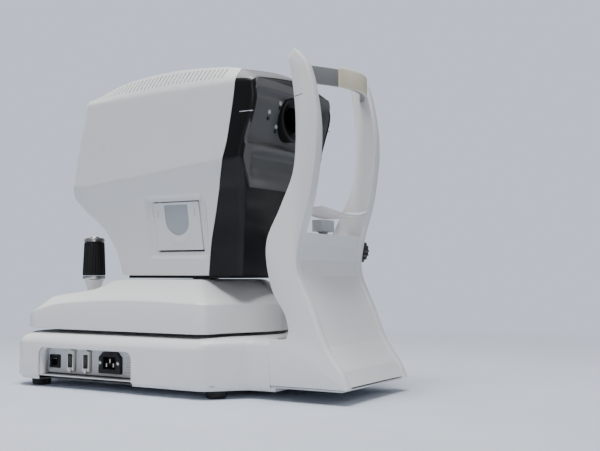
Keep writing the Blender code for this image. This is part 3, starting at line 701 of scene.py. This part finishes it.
def screw_cap(name, x_side, y, z):
    """A round plug over a casing screw, in the right or left wall."""
    radius = 3.2
    x = wall_x(z) * x_side
    normal = Vector((wall_x(z) - wall_x(z - 6), 0, -6)).cross(Vector((0, 1, 0)))
    normal = Vector((abs(normal.x) * x_side, 0, -abs(normal.z) if z < CREASE_Z else 0)).normalized()
    profile = [(radius + 0.5, -1.0), (radius + 0.5, 0.06), (radius + 0.2, 0.06), (radius + 0.1, -0.35),
               (radius - 0.15, -0.35), (radius - 0.3, 0.1), (0.005, 0.18)]
    verts, faces = turned_data(profile[::-1], (0, 0, 0), "Z", 32)
    turn = normal.to_track_quat("Z", "Y").to_matrix()
    verts = [tuple(Vector((x, y, z)) + turn @ Vector(v)) for v in verts]
    new_piece(name, verts, faces, WHITE_SATIN, "head")


# --- Patient end ---
def insert_y(x, z):
    """The grey face towards the patient: brow, lens recess with a lip, and a hollow below."""
    across = abs(x)
    surface_y = rear_y(z) - REAR_BOW * (across / 100) ** 2.5
    recess = 10.0 * ease(386, 379, z) * ease(314, 322, z) * ease(96, 90, across)
    hollow = 12.0 * ease(86, 62, across) * ease(314, 302, z) * ease(262, 292, z)
    return surface_y + 0.9 - recess - hollow


FACE_LOW, FACE_HIGH = 262.0, 397.0


def build_face(shell):
    """The grey face towards the patient, in an opening of the rear shell."""
    def place(up, across):
        z = FACE_LOW + (FACE_HIGH - FACE_LOW) * up
        half = 78.0 + 16.5 * ease(FACE_LOW, 300, z)
        corner = 5 * max(0.0, (z - 391) / 6) ** 2
        x = (2 * across - 1) * (half - corner)
        return x, insert_y(x, z), z

    face = relief("face_insert", 90, 84, place, lambda f: f.normal.y, 3.5, FACE_GREY, "head")
    mouth = mirrored([(0.1, 262.6), (77.6, 262.6), (84, 270), (91, 284), (94, 300), (94, 391), (89.6, 396.6),
                      (0.1, 396.6)])
    carve(shell, prism_data(mouth, "Y", 112, 180), tolerant=True, sharp=38)
    sharpen(face, 30)
    carve(face, turned_data([(29.6, 90), (29.6, 160)], (0, 0, OPTICAL_Z), "Y", 64), sharp=30)


def build_lens():
    """The stepped ring round the measuring window, and its glass."""
    centre = (0, 0, OPTICAL_Z)
    ring = [(29.2, 118), (29.2, 131.5), (28.4, 133), (27.2, 133.6), (26.2, 133), (25.8, 131.6), (24, 130.9),
            (15, 128.6), (12.6, 128), (11.8, 127), (11.8, 118)]
    lens = turned("lens_bezel", ring + [ring[0]], centre, "Y", 96, BLACK_SATIN, "head", smooth=25)
    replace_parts(lens, "lens_ring")
    for n, radius in enumerate((17.5, 20.0, 22.5)):
        groove = [(radius - 0.35, 129.0), (radius + 0.35, 129.0), (radius + 0.35, 131.0 + 0.1 * n),
                  (radius - 0.35, 130.6 + 0.1 * n), (radius - 0.35, 129.0)]
        turned("lens_step_%d" % n, groove, centre, "Y", 96, BLACK, "head", smooth=25)
    dome = [(11.6 * math.cos(a), 121.5 + 3.2 * math.sin(a)) for a in np.linspace(0, math.pi / 2, 11)]
    dome[-1] = (0.005, dome[-1][1])
    window = turned("front_lens", [(11.6, 118.5)] + dome, centre, "Y", 64, GLASS, "head")
    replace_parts(window, "window_glass")


def build_patient_end(shell):
    """The grey face with the lens ring, its lamps and the eye-level marks."""
    build_face(shell)
    build_lens()
    lamp_places = [(side * 30, z) for side in (-1, 1) for z in (338, 344, 368, 374)]
    lamp_places += [(side * 52, z) for side in (-1, 1) for z in (352, 360)]
    for n, (x, z) in enumerate(lamp_places):
        y = insert_y(x, z)
        bulb = [(2.9, y - 1.5), (2.9, y + 0.5), (2.2, y + 0.9), (1.7, y + 0.4), (1.2, y + 1.2),
                (0.005, y + 1.7)]
        turned("alignment_lamp_%d" % n, bulb, (x, 0, z), "Y", 24, LAMP if n % 2 else BLACK, "head", "glass")
    y0, y1 = joint_y(354) + 10, joint_y(354) + 29
    mark = [(y0, 353.6), (y1, 353.6), (y1, 354.5), (y0, 354.5)]
    for name, side in (("left", -1), ("right", 1)):
        plate = prism_data(mark, "X", side * 98.05, side * 100.15)
        new_piece("eye_level_mark_" + name, *plate, LIGHT_GREY, "head", "white_casing")


# --- Screen ---
SCREEN_HALF_W, SCREEN_HALF_H = 77.0, 43.5


def screen_frame():
    """The screen's centre, its up direction and its outward direction."""
    low = Vector((0, front_y(285) + 0.4, 285))
    high = Vector((0, front_y(371) + 0.4, 371))
    up = (high - low).normalized()
    out = Vector((0, -up.z, up.y))
    return (low + high) / 2, up, out


SCREEN_CENTRE, SCREEN_UP, SCREEN_OUT = screen_frame()


def screen_data(outline, low, high):
    """A plate on the screen from its (right, up) outline, between two heights above the face."""
    verts = [tuple(SCREEN_CENTRE + Vector((a, 0, 0)) + SCREEN_UP * b + SCREEN_OUT * h)
             for h in (low, high) for a, b in outline]
    return verts, prism_faces(len(outline))


def screen_mark(name, outline, material, lift, base):
    return new_piece(name, *screen_data(outline, base, lift), material, "head", "glass", 30)


PICTURE_LEVEL = -1.3           # the lit marks stand on the picture, below the bezel's face


def lit(name, outline, material, lift=0.1, base=0.0):
    """A lit mark on the picture."""
    screen_mark(name, outline, material, PICTURE_LEVEL + lift, PICTURE_LEVEL + base)


def ring_outline(radius, width, start=0, end=350, count=28):
    return arc(0, 0, radius, start, end, count) + arc(0, 0, radius - width, end, start, count)


def shift(outline, a, b):
    return [(p + a, q + b) for p, q in outline]


def patch(half_a, half_b, radius, a, b, count=2):
    """A rounded rectangle about (a, b)."""
    return shift(rounded_box(half_a, half_b, radius, count), a, b)


def picture_material():
    """The dim blue camera picture: a pale lid above a dark eye, faded towards the edges."""
    material = surface("screen_picture", (0.004, 0.006, 0.012), 0.35, grain=0.0, rough_spread=0.02)
    tree = material.node_tree
    shader = tree.nodes["Principled BSDF"]
    where = node(tree, "TexCoord")
    split = node(tree, "SeparateXYZ", Vector=(where, "Object"))
    square = node(tree, "Math", operation="MULTIPLY")
    wire(tree, split, "X", square, 0)
    wire(tree, split, "X", square, 1)
    arch = node(tree, "Math", operation="MULTIPLY_ADD")
    wire(tree, square, 0, arch, 0)
    arch.inputs[1].default_value = 2.2
    wire(tree, split, "Z", arch, 2)
    noise = node(tree, "TexNoise", Scale=45.0, Detail=6.0, Vector=(where, "Object"))
    blur = node(tree, "Math", operation="MULTIPLY_ADD")
    wire(tree, noise, "Fac", blur, 0)
    blur.inputs[1].default_value = 0.016
    wire(tree, arch, 0, blur, 2)
    level = node(tree, "MapRange", Value=(blur, "Value"), From_Min=0.285, From_Max=0.385)
    ramp = node(tree, "ValToRGB", Fac=(level, "Result"))
    stops = [(0.0, (0.016, 0.032, 0.10)), (0.25, (0.013, 0.02, 0.05)), (0.62, (0.010, 0.013, 0.024)),
             (0.72, (0.016, 0.028, 0.07)), (0.80, (0.11, 0.19, 0.42)), (0.9, (0.06, 0.12, 0.32)),
             (1.0, (0.02, 0.045, 0.14))]
    paint_ramp(ramp, stops)
    wire(tree, ramp, "Color", shader, "Emission Color")
    shader.inputs["Emission Strength"].default_value = 1.6
    return material


def build_target():
    """The aiming target in the middle of the picture."""
    for n, (start, end) in enumerate(((20, 60), (120, 160), (170, 190), (-10, 10), (240, 300))):
        lit("target_arc_%d" % n, ring_outline(14, 1.3, start, end, 12), PALE_LIGHT)
    lit("target_ring", ring_outline(9, 1.1, 0, 359.5, 60), PALE_LIGHT)
    lit("target_inner", ring_outline(4.6, 0.8, 0, 359.5, 40), BLUE_LIGHT)
    for n, (a, b) in enumerate(((-11.5, -6.6), (11.5, -6.6), (0, 12.4), (-6.5, 10.4), (6.5, 10.4))):
        lit("target_dot_%d" % n, arc(a, b, 1.1, 0, 345, 14), PALE_LIGHT)
    for n, (a, half) in enumerate(((-19, 3.2), (19, 3.2), (0, 2.2))):
        lit("target_bar_%d" % n, patch(half, 0.35, 0.3, a, 0), AMBER_LIGHT, 0.12)
    lit("target_bar_3", patch(0.3, 2.0, 0.28, 0, 0), AMBER_LIGHT, 0.12)


def build_readouts():
    """Tabs and short marks at the picture's sides and top."""
    tabs = [(-66, 5.2, BLUE_PANEL), (-55.5, 7, BLUE_PANEL), (54, 5.2, TEAL_LIGHT), (66.5, 7, BLUE_PANEL)]
    for n, (a, half, colour) in enumerate(tabs):
        lit("eye_tab_%d" % n, patch(half, 4.1, 0.6, a, -4), colour, 0.08)
    for side, a in (("left", -72), ("right", 51)):
        for row in range(3):
            lit("readout_%s_%d" % (side, row), patch(1.4, 0.45, 0.3, a, -12.5 - 6.5 * row), DIM_LIGHT, 0.08)
    lit("title_tab", patch(13.2, 3.4, 0.5, 0, 36.6), GLASS, 0.08)
    for n, a in enumerate((-7.5, 4.2)):
        lit("title_mark_%d" % n, patch(2.6, 0.9, 0.4, a, 36.4), PALE_LIGHT, 0.15)
    lit("corner_badge", arc(-70, 36.6, 2.7, 0, 350, 24), TEAL_LIGHT)
    for n, a in enumerate((38, 52.5, 65)):
        lit("status_mark_%d" % n, patch(2.6, 0.8, 0.4, a, 36.6), DIM_LIGHT)


def build_keys():
    """The row of keys along the bottom, each with a plain icon and a rule."""
    icons = (ring_outline(2.2, 0.7, count=24), rounded_box(2.4, 1.3, 0.9, 4),
             rounded_box(1.7, 2.0, 0.5, 3))
    for n, a in enumerate((-44.1, -31.6, -12.1, 0.4, 12.6, 32.4, 44.9, 57.4, 69.4)):
        lit("key_%d" % n, patch(5.2, 3.6, 0.6, a, -36.4, 3), KEY_LIGHT)
        lit("key_icon_%d" % n, shift(icons[n % 3], a, -36.0), ICON_BLUE, 0.2, 0.1)
        lit("key_label_%d" % n, patch(2.6, 0.35, 0.3, a, -41.1), ICON_BLUE)
    lit("wide_key", patch(11.2, 4.6, 0.6, -62.6, -37, 3), KEY_LIGHT)
    lit("wide_key_ring", shift(ring_outline(3.4, 0.6), -68, -36.8), ICON_BLUE, 0.2, 0.1)


def build_screen(bezel):
    """The display, its picture and marks, and the lamp below it."""
    w, h = SCREEN_HALF_W, SCREEN_HALF_H
    carve(bezel, screen_data(rounded_box(w + 0.4, h + 0.4, 1.2, 3), -9, 9), sharp=38)
    glass = screen_mark("screen_glass", rounded_box(w, h, 1, 3), GLASS, lift=-1.5, base=-4)
    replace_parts(glass, "display")
    picture = [(a * (w - 1.2), b * (h - 1.2)) for a, b in ((-1, -1), (1, -1), (1, 1), (-1, 1))]
    screen_mark("screen_image", picture, picture_material(), -1.35, -1.5)
    build_target()
    build_readouts()
    build_keys()
    edge = [(-w, -h), (w, -h), (w, -h + 0.9), (-w, -h + 0.9)]
    screen_mark("screen_edge_light", edge, SATIN_METAL, 0.1, -1.3)
    screen_mark("status_lamp", patch(1.9, 1.9, 0.5, 72, -57.6, 3), BLUE_WHITE_LIGHT, 0.75, -2.0)


def build_front_inset():
    """The raised frame with rounded upper corners in the middle of the lower front."""
    low_z, high_z = 158.0, 266.0
    frame_width, corner = 9, 8

    def place(up, across):
        z = low_z + (high_z - low_z) * up
        half = 47.5 + 11.5 * up
        x = (2 * across - 1) * half
        inside = min(half - abs(x), high_z - z)
        gap_x, gap_z = half - frame_width - abs(x), high_z - frame_width - z
        if gap_x < corner and gap_z < corner:
            inner = corner - math.hypot(corner - gap_x, corner - gap_z)
        else:
            inner = min(gap_x, gap_z)
        height = 1.5 * ease(0, 1.2, inside) - 1.1 * ease(-1.5, 1.5, inner)
        return x, front_y(z) + 2.5 * (x / 100) ** 2 - 0.15 - height, z

    relief("front_inset", 46, 44, place, lambda f: -f.normal.y, 1.2, BLACK_SATIN, "head")


PALE_LIGHT = glowing("screen_white", (0.85, 0.9, 1.0), 1.3)
DIM_LIGHT = glowing("screen_grey", (0.45, 0.5, 0.6), 0.8)
BLUE_LIGHT = glowing("screen_blue", (0.45, 0.7, 0.95), 1.1)
BLUE_PANEL = glowing("screen_blue_panel", (0.09, 0.19, 0.55), 1.0)
TEAL_LIGHT = glowing("screen_teal", (0.15, 0.55, 0.62), 1.0)
AMBER_LIGHT = glowing("screen_amber", (0.95, 0.75, 0.2), 1.0)
KEY_LIGHT = glowing("screen_key", (0.86, 0.93, 1.0), 0.95)
ICON_BLUE = glowing("screen_icon", (0.05, 0.2, 0.5), 0.5)
BLUE_WHITE_LIGHT = glowing("status_light", (0.75, 0.85, 1.0), 2.0)
LAMP = surface("lamp_dome", (0.62, 0.64, 0.66), 0.12, coat=0.6, mottle=0.1)


# --- Base and stage ---
RECESS_YS = (-196.0, -31.0)


def base_plan(inset=0.0):
    """Plan of the base: bowed front, round corners, and a neck towards the headrest."""
    side, front, neck = 131.0 - inset, -255.0 + inset, 86.0 - inset
    half = [(0.1, front), (30, front + 0.4), (60, front + 1.7)]
    half += arc(side - 34, front + 37, 34, -80, 0, 16)
    half += [(side, -180), (side, -150), (side, -100), (side, -50), (side, 0), (side, 40)]
    half += arc(side - 24, 68, 24, 0, 42, 8)
    half += arc(neck + 18, 128 - inset * 0.4, 18, 222, 180, 6)
    half += [(neck, 149.7)]
    return half


def build_base():
    low_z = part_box("base_cover")[0][2] / MM
    # (inset, height) up the wall, round the edge and over the crowned top
    steps = [(2.6, low_z + 0.2), (0.3, low_z + 0.1), (0.0, low_z + 1.0), (0.0, 30), (0.0, 45), (0.0, 58),
             (0.3, 60.2), (1.2, 62.2), (2.6, 64.6), (5, 67.6), (8, 70.0), (11, 71.6), (15, 72.8), (20, 73.4),
             (30, 73.6), (54, 73.8)]

    def ring(inset, z):
        points = []
        for x, y in mirrored(base_plan(inset)):
            rise = 5.0 * ease(62, 96, y) * ease(57, 62, z) * ease(73.8, 64, z)
            points.append((x, y, z + rise))
        return points

    rings = [ring(i, z) for i, z in steps]
    cover = new_piece("base_shell", *rings_data(rings), WHITE, "base", smooth=35)
    inner = [ring(3, low_z - 4), ring(3, 58), ring(10, 67), ring(26, 70), ring(54, 70.5)]
    inner = [[(x, y if y < 149 else 156, z) for x, y, z in r] for r in inner]
    carve(cover, rings_data(inner))
    first, last = RECESS_YS
    upper_edge = arc(first + 11, 43, 11, 180, 90, 8) + arc(last - 11, 43, 11, 90, 0, 8)
    mouth = [(first, 5)] + upper_edge + [(last, 5)]
    carve(cover, prism_data(mouth, "X", 118, 140), box_data((-140, -114, 22), (-120, -80, 50)), sharp=35)
    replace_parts(cover, "base_cover")
    floor_z = 15.5
    outer = [(127.8, first, floor_z)] + [(127.6, a, b) for a, b in upper_edge] + [(127.8, last, floor_z)]
    back = [(112.4, y, z) for _, y, z in outer]
    count = len(outer)
    faces = [(i, i + 1, count + i + 1, count + i) for i in range(count - 1)]
    faces.append((count - 1, 0, count, 2 * count - 1))
    walls = new_piece("recess_walls", outer + back, faces, WHITE_SATIN, "base", smooth=35)
    bake(thicken(walls, 1.4))


def stage_plan(inset=0.0):
    side, front, rear = 120.0 - inset, -251.0 + inset, 113.0 - inset
    share = side / 120.0
    half = [(max(0.1, x * share), front + 2 * (x / 52) ** 2) for x in (0, 6, 12, 18, 24, 31, 38, 45, 52)]
    half += arc(side - 36, front + 42, 36, -76, 0, 14)
    half += [(side, front + 50 + (rear - front - 110) * i / 23) for i in range(24)]
    half += arc(side - 18, rear - 52, 18, 0, 56, 8)
    half += [(80 * share, rear - 30), (57 * share, rear - 20), (28 * share, rear - 7), (0.1, rear)]
    return half


STICK_CENTRE = (0, -218, 0)
STICK_SEAT_Z = 118.4
STAGE_CREASE = [(-260, 94), (-238, 97), (-222, 100), (-198, 107), (-165, 113), (-94, 117.5), (-26, 118.5),
                (39, 116.5), (115, 113.5)]
stage_crease_z = follow(smooth_curve(STAGE_CREASE, 4), axis=0)
DECK_LINE = [(-262, 108), (-241, 117), (-200, 122.5), (-147, 129), (-108, 134.3), (-60, 136)]
PLATEAU_Z = 145.7
deck_z = follow(smooth_curve(DECK_LINE, 4), axis=0)


def deck_height(x, y):
    """The sloping deck, the plateau under the head, and a scoop round the joystick."""
    across = abs(x)
    low = deck_z(y)
    bay = ease(68, 56, across)
    step = ease(-112 + 8 * bay, -90 + 3 * bay, y + 0.0011 * x * x)
    scoop = 4.0 * bay * ease(-236, -150, y)
    height = low - scoop + (PLATEAU_Z - low + scoop) * step
    seat = ease(50, 25, math.hypot(x, y - STICK_CENTRE[1]))
    return height + (STICK_SEAT_Z - height) * seat


def soft_min(a, b, width):
    """The smaller of two heights, blended over a width."""
    gap = max(0.0, width - abs(a - b)) / width
    return min(a, b) - gap * gap * width / 4


def stage_top(x, y, inset):
    """Height of the stage's deck: chamfers rise from the crease to a sloping deck with a dish."""
    crease = stage_crease_z(y)
    toward_front = ease(-205, -246, y) * ease(125, 80, abs(x))
    rise = crease + inset * (0.80 + 0.72 * toward_front)
    return soft_min(rise, deck_height(x, y), 2.5)


def build_stage_cover():
    insets = [0.0, 0.6, 1.6, 3, 5, 8, 11, 14, 17, 20, 23, 26, 29, 32, 36, 40, 44, 48]
    rings = []
    low_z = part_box("stage_cover")[0][2] / MM
    rings.append([(x, y, low_z + 0.1) for x, y in mirrored(stage_plan(0.8))])
    rings.append([(x, y, low_z + 0.9) for x, y in mirrored(stage_plan(0))])
    for inset in insets:
        drop = 1.4 if inset == 0 else 0.3 if inset == 0.6 else 0
        rings.append([(x, y, stage_top(x, y, inset) - drop) for x, y in mirrored(stage_plan(inset))])
    verts, faces = rings_data(rings, close_top=False)
    last = rings[-1]
    count, half, columns = len(last), len(last) // 2, 32
    start = (len(rings) - 1) * count
    grid = []                  # rows of point numbers from one side of the innermost ring to the other
    for i in range(half):
        a, b = last[i], last[count - 1 - i]
        between = list(range(len(verts), len(verts) + columns - 1))
        for j in range(1, columns):
            t = j / columns
            x, y = a[0] + (b[0] - a[0]) * t, a[1] + (b[1] - a[1]) * t
            verts.append((x, y, stage_top(x, y, insets[-1])))
        grid.append([start + i] + between + [start + count - 1 - i])
    for near, far in zip(grid, grid[1:]):
        faces += [(near[j], near[j + 1], far[j + 1], far[j]) for j in range(columns)]
    cover = new_piece("stage_shell", verts, faces, WHITE, "stage", smooth=32)
    hollow = [[(x, y, z) for x, y in mirrored(stage_plan(3))] for z in (low_z - 5, 90)]
    hollow += [[(x, y, stage_top(x, y, i) - 6) for x, y in mirrored(stage_plan(i + 3))] for i in (0, 20, 40)]
    hollow += [[(x, y, deck_z(y) - 10) for x, y in mirrored(stage_plan(62))]]
    carve(cover, rings_data(hollow))
    carve(cover, turned_data([(17.3, 100), (17.3, 150)], STICK_CENTRE, "Z", 64),
          turned_data([(19, 120), (19, 160)], (0, -10, 0), "Z", 48), sharp=42)
    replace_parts(cover, "stage_cover")


# --- Headrest ---
CHIN_SHAFT = (0, 164, 185)
UPRIGHT_OPERATOR = [(176, 418), (182, 390), (187, 340), (184, 280), (165, 234), (145, 190), (152, 138),
                    (172, 104), (177, 84)]
UPRIGHT_FOOT = [(174, 75.5), (168, 73.2), (150, 73), (151, 18)]
UPRIGHT_PATIENT = [(255, 18), (246, 38), (226, 66), (207, 112), (189, 155), (192, 194), (208, 252),
                   (216, 315), (212, 364), (201, 407), (184, 428)]


def build_uprights():
    outline = smooth_curve(UPRIGHT_OPERATOR, 8) + UPRIGHT_FOOT + smooth_curve(UPRIGHT_PATIENT, 8)
    for name, sign in (("left", -1), ("right", 1)):
        data = prism_data(outline, "X", sign * 72, sign * 88)
        upright = new_piece("headrest_arm_" + name, *data, WHITE, "base", smooth=30)
        bake(soften(upright, 2.6, 4, 50))
        if sign < 0:
            carve(upright, turned_data([(5.6, -100), (5.6, -60)], CHIN_SHAFT, "X", 32))
        sharpen(upright, 30)
        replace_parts(upright, "upright_" + name)
        mark = [(186.5, 367.6), (197, 369.8), (197, 370.6), (186.5, 368.4)]
        new_piece("eye_line_" + name, *prism_data(mark, "X", sign * 87.4, sign * 88.1), BLACK_SATIN, "base")


def strap(y_end, y_middle, half_width, steps=40):
    """A path in plan that bows from both ends to its middle."""
    shares = [2 * i / steps - 1 for i in range(steps + 1)]
    return [(half_width * t, y_end + (y_middle - y_end) * math.cos(math.pi / 2 * t)) for t in shares]


def band(name, path, thickness, low, high, material, round_by=1.2):
    """A band of rounded section along a path in plan."""
    section = [(a + thickness / 2, b + (low + high) / 2)
               for a, b in rounded_box(thickness / 2, (high - low) / 2, round_by, 4)]
    rings = []
    for i, (x, y) in enumerate(path):
        x0, y0 = path[max(0, i - 1)]
        x1, y1 = path[min(len(path) - 1, i + 1)]
        along = Vector((x1 - x0, y1 - y0)).normalized()
        out = Vector((-along.y, along.x))
        rings.append([(x + out.x * a, y + out.y * a, b) for a, b in section])
    return new_piece(name, *rings_data(rings), material, "base", smooth=30)


def build_forehead():
    path = strap(193.5, 220, 71.6)
    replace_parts(band("forehead_bar", path, 5.6, 386.2, 407.8, MID_GREY), "forehead_band")
    inner = [(x, y + 6.0) for x, y in path if abs(x) < 38]
    pad = band("forehead_cushion", inner, 4.0, 384.5, 409.5, SILICONE, 1.8)
    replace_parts(pad, "forehead_pad")


def build_chin_rest():
    """A shallow saddle of milky plastic with a turned-up rim."""
    def place(along, across):
        u, v = 2 * along - 1, 2 * across - 1
        y = 194 + v * (23.5 - 8.5 * abs(u) ** 3)
        return 61.5 * u, y, 226.5 + 9.0 * abs(u) ** 1.7 + 2.2 * abs(v) ** 4 * (1 - 0.5 * abs(u))

    cup = relief("chin_saddle", 40, 14, place, lambda f: f.normal.z, 3.2, MILKY, "chin_rest")
    bake(soften(cup, 0.9, 3, 50))
    sharpen(cup, 40)
    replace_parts(cup, "chin_cup")


def flutes(count, depth, power, above):
    """Radius of a fluted handle around its axis, where its plain radius is above a limit."""
    return lambda angle, r: r - (depth * abs(math.sin(angle * count / 2)) ** power if r > above else 0)


def build_chin_knob():
    x0, x1 = -126.0, -107.2
    profile = [(0.005, x0 + 0.4), (13.2, x0 + 0.2), (13.9, x0), (16.6, x0 + 0.3), (17.9, x0 + 1.8),
               (18, x0 + 3), (18, x1 - 3), (17.9, x1 - 1.8), (16.6, x1 - 0.3), (12.5, x1), (5.2, x1)]
    knob = turned("chin_hand_wheel", profile, CHIN_SHAFT, "X", 216, BLACK_SATIN, "chin_adjuster", smooth=35,
                  radius=flutes(18, 1.7, 0.8, 16))
    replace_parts(knob, "chin_knob")


# --- Joystick ---
def build_joystick():
    centre = STICK_CENTRE
    grip = [(6.6, 200.6), (14.0, 200.6), (14.8, 199.8), (15.2, 197), (16.9, 156), (17, 152.4), (16.5, 150.5),
            (6.6, 150.5)]
    handle = turned("stick_grip", grip[::-1] + [grip[-1]], centre, "Z", 240, BLACK_SATIN, "grip", smooth=30,
                    radius=flutes(30, 0.55, 1.0, 14.9))
    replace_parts(handle, "joystick_grip")
    ring = [(0.005, 150.0), (15.6, 150.0), (16.5, 149.4), (16.7, 147.6), (16.2, 145.2), (15.0, 144.2),
            (0.005, 144.2)]
    collar = turned("stick_collar", ring, centre, "Z", 96, SATIN_METAL, "joystick", "steel", 30)
    cone = [(14.4, 144.1), (13.4, 141.5), (11.8, 137.5), (10.4, 133.5), (9.5, 129.5), (9.2, 126.5),
            (8.6, 125.6), (0.005, 125.5)]
    turned("stick_cone", cone, centre, "Z", 96, WHITE, "joystick", smooth=30)
    stem = [(0.005, 125.4), (6, 125.3), (6, 112.5)]
    ball = arc(0, 104, 9, 60, -60, 12)
    stem += ball + [(3, 94), (2.6, 78), (1.8, 77), (0.005, 76.8)]
    turned("stick_stem", stem, centre, "Z", 48, STEEL, "joystick", smooth=30)
    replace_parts(collar, "joystick_rod")
    cap = [(8.5, 202.5), (8.5, 206.2), (9.2, 206.9), (12.4, 206.9), (14.3, 206.0), (15.1, 204.2),
           (15.1, 201.2), (0.005, 201.1)]
    top = turned("stick_cap", [(0.005, 202.5)] + cap, centre, "Z", 96, SATIN_METAL, "joystick", smooth=30)
    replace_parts(top, "joystick_cap")
    button = [(0.005, 208.9), (5.5, 208.8), (7.2, 208.3), (7.9, 207.3), (8.0, 205.8), (0.005, 205.8)]
    press = turned("trigger_button", button, centre, "Z", 64, SATIN_METAL, "button", "grey_casing", 35)
    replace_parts(press, "measure_button")
    boot = [(17.0, 118.9), (16.6, 119.4), (15.6, 118.3), (14.6, 119.4), (13.6, 118.2), (12.6, 119.2),
            (11.8, 118), (11.2, 118.6), (11.2, 112.4), (17.0, 112.4), (17.0, 118.9)]
    bellows = turned("stick_bellows", boot, centre, "Z", 64, RUBBER, "stage", smooth=30)
    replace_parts(bellows, "joystick_boot")


# --- Connectors ---
def build_connectors():
    """Details of the sockets in the right-hand recess."""
    face = span("connector_panel")[1].x
    for n in (1, 2):
        low, high = span("serial_port_%d" % n)
        middle, right = (low + high) / 2, high.x
        for k, z in enumerate((low.z - 0.3, high.z + 0.3)):
            nut = shift(arc(0, 0, 2.6, 0, 300, 5), middle.y, min(max(z, 22.5), 51.5))
            body = prism_data(nut, "X", face + 2, right + 1.2)
            new_piece("jack_screw_%d_%d" % (n, k), *body, PLATED, "base")
        core = patch(3.6, 8.4, 1.2, middle.y, middle.z, 4)
        new_piece("serial_core_%d" % n, *prism_data(core, "X", face + 1.3, right - 1.0), BLACK_SATIN, "base")
        pin = [(0.45, right - 1.2), (0.45, right - 0.2), (0.005, right)]
        for row, count in ((-1.3, 5), (1.3, 4)):
            for k in range(count):
                place = (0, middle.y + row, middle.z + (k - (count - 1) / 2) * 2.8)
                turned("serial_pin_%d_%d_%d" % (n, count, k), pin, place, "X", 10, PLATED, "base")
    low, high = span("power_inlet")
    middle, right = (low + high) / 2, high.x
    screw = [(2.3, right), (2.3, right + 0.8), (1.7, right + 1.2), (0.005, right + 1.25)]
    for name, side in (("a", -1), ("b", 1)):
        turned("inlet_screw_" + name, screw, (0, middle.y + side * 15.4, middle.z), "X", 20, PLATED, "base")
    for k, (dy, z) in enumerate(((-6, 33), (6, 33), (0, 38.5))):
        y = middle.y + dy
        pin = box_data((face - 8, y - 0.9, z - 2.4), (face + 2.5, y + 0.9, z + 2.4))
        new_piece("mains_pin_%d" % k, *pin, PLATED, "base")
    low, high = span("lan_jack")
    for k in range(8):
        y = (low.y + high.y) / 2 + (k - 3.5) * 1.05
        contact = box_data((face - 7.5, y - 0.25, 36.6), (face + 1.5, y + 0.25, 37.4))
        new_piece("jack_contact_%d" % k, *contact, PLATED, "base")
    label = face + 0.25
    new_piece("rating_label", *box_data((face, -57.5, 22), (label, -44, 47)), LIGHT_GREY, "base")
    for k in range(7):
        line = box_data((label, -56 + (k % 3) * 0.5, 44 - 3.2 * k), (label + 0.07, -46, 44.6 - 3.2 * k))
        new_piece("label_rule_%d" % k, *line, MID_GREY, "base")


# --- Carried-over nodes ---
FINISHES = [
    (WHITE, ["headrest_panel", "headrest_rear_cover"]),
    (RUBBER, ["foot_front_left", "foot_front_right", "foot_rear_left", "foot_rear_right"]),
    (STEEL, ["base_plate", "lock_screw_left", "lock_screw_right", "rail_left", "rail_right", "friction_plate",
             "chin_shaft", "roller_axle", "stage_plate", "cross_rod_front", "cross_rod_rear", "lift_column",
             "joystick_gimbal", "head_plate"]),
    (SATIN_METAL, ["power_supply", "carriage_frame", "objective_tube", "optical_bench"]),
    (PLATED, ["serial_port_1", "serial_port_2"]),
    (BLACK_SATIN, ["lan_jack", "power_inlet", "switch_frame", "switch_rocker", "lift_skirt"]),
    # connector_panel is casing white painted down to light grey: painted shade of the recess it stands in.
    # chin_post is really light grey.
    (LIGHT_GREY, ["connector_panel", "chin_post"]),
    (DARK_GREY, ["printer_mechanism"]),
    (BOARD, ["main_board"]),
    (PAPER, ["paper_roll"]),
]
# Rounding of the edges that show, in millimetres
EDGES = {"headrest_panel": 1.2, "headrest_rear_cover": 0.8, "chin_post": 0.3, "connector_panel": 0.3,
         "lan_jack": 0.5, "power_inlet": 0.8, "switch_frame": 0.6, "switch_rocker": 0.5, "lift_skirt": 0.8}
EDGES |= {"foot_%s_%s" % (end, side): 1.0 for end in ("front", "rear") for side in ("left", "right")}
EDGES |= {"serial_port_%d" % n: 0.6 for n in (1, 2)}
EDGES |= {"lock_screw_" + side: 0.5 for side in ("left", "right")}


def finish_frame():
    """Give every CAD node that stays its material, and soft edges where they show."""
    for material, names in FINISHES:
        for name in names:
            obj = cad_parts[name]
            obj.data.materials.clear()
            obj.data.materials.append(material)
            if name in EDGES:
                weld = obj.modifiers.new("weld", "WELD")
                weld.merge_threshold = 0.00002
                soften(obj, EDGES[name], 3, 40)


# --- Assembly ---
make_camera()
make_stage()
right_shell, bezel_shell, rear_shell = build_head_casing()
build_printer(right_shell)
for number in range(2 * len(CAP_PLACES)):
    screw_cap("screw_cap_%d" % number, 1 if number < 3 else -1, *CAP_PLACES[number % 3])
build_patient_end(rear_shell)
build_screen(bezel_shell)
build_front_inset()
build_base()
build_stage_cover()
build_uprights()
build_forehead()
build_chin_rest()
build_chin_knob()
build_joystick()
build_connectors()
finish_frame()
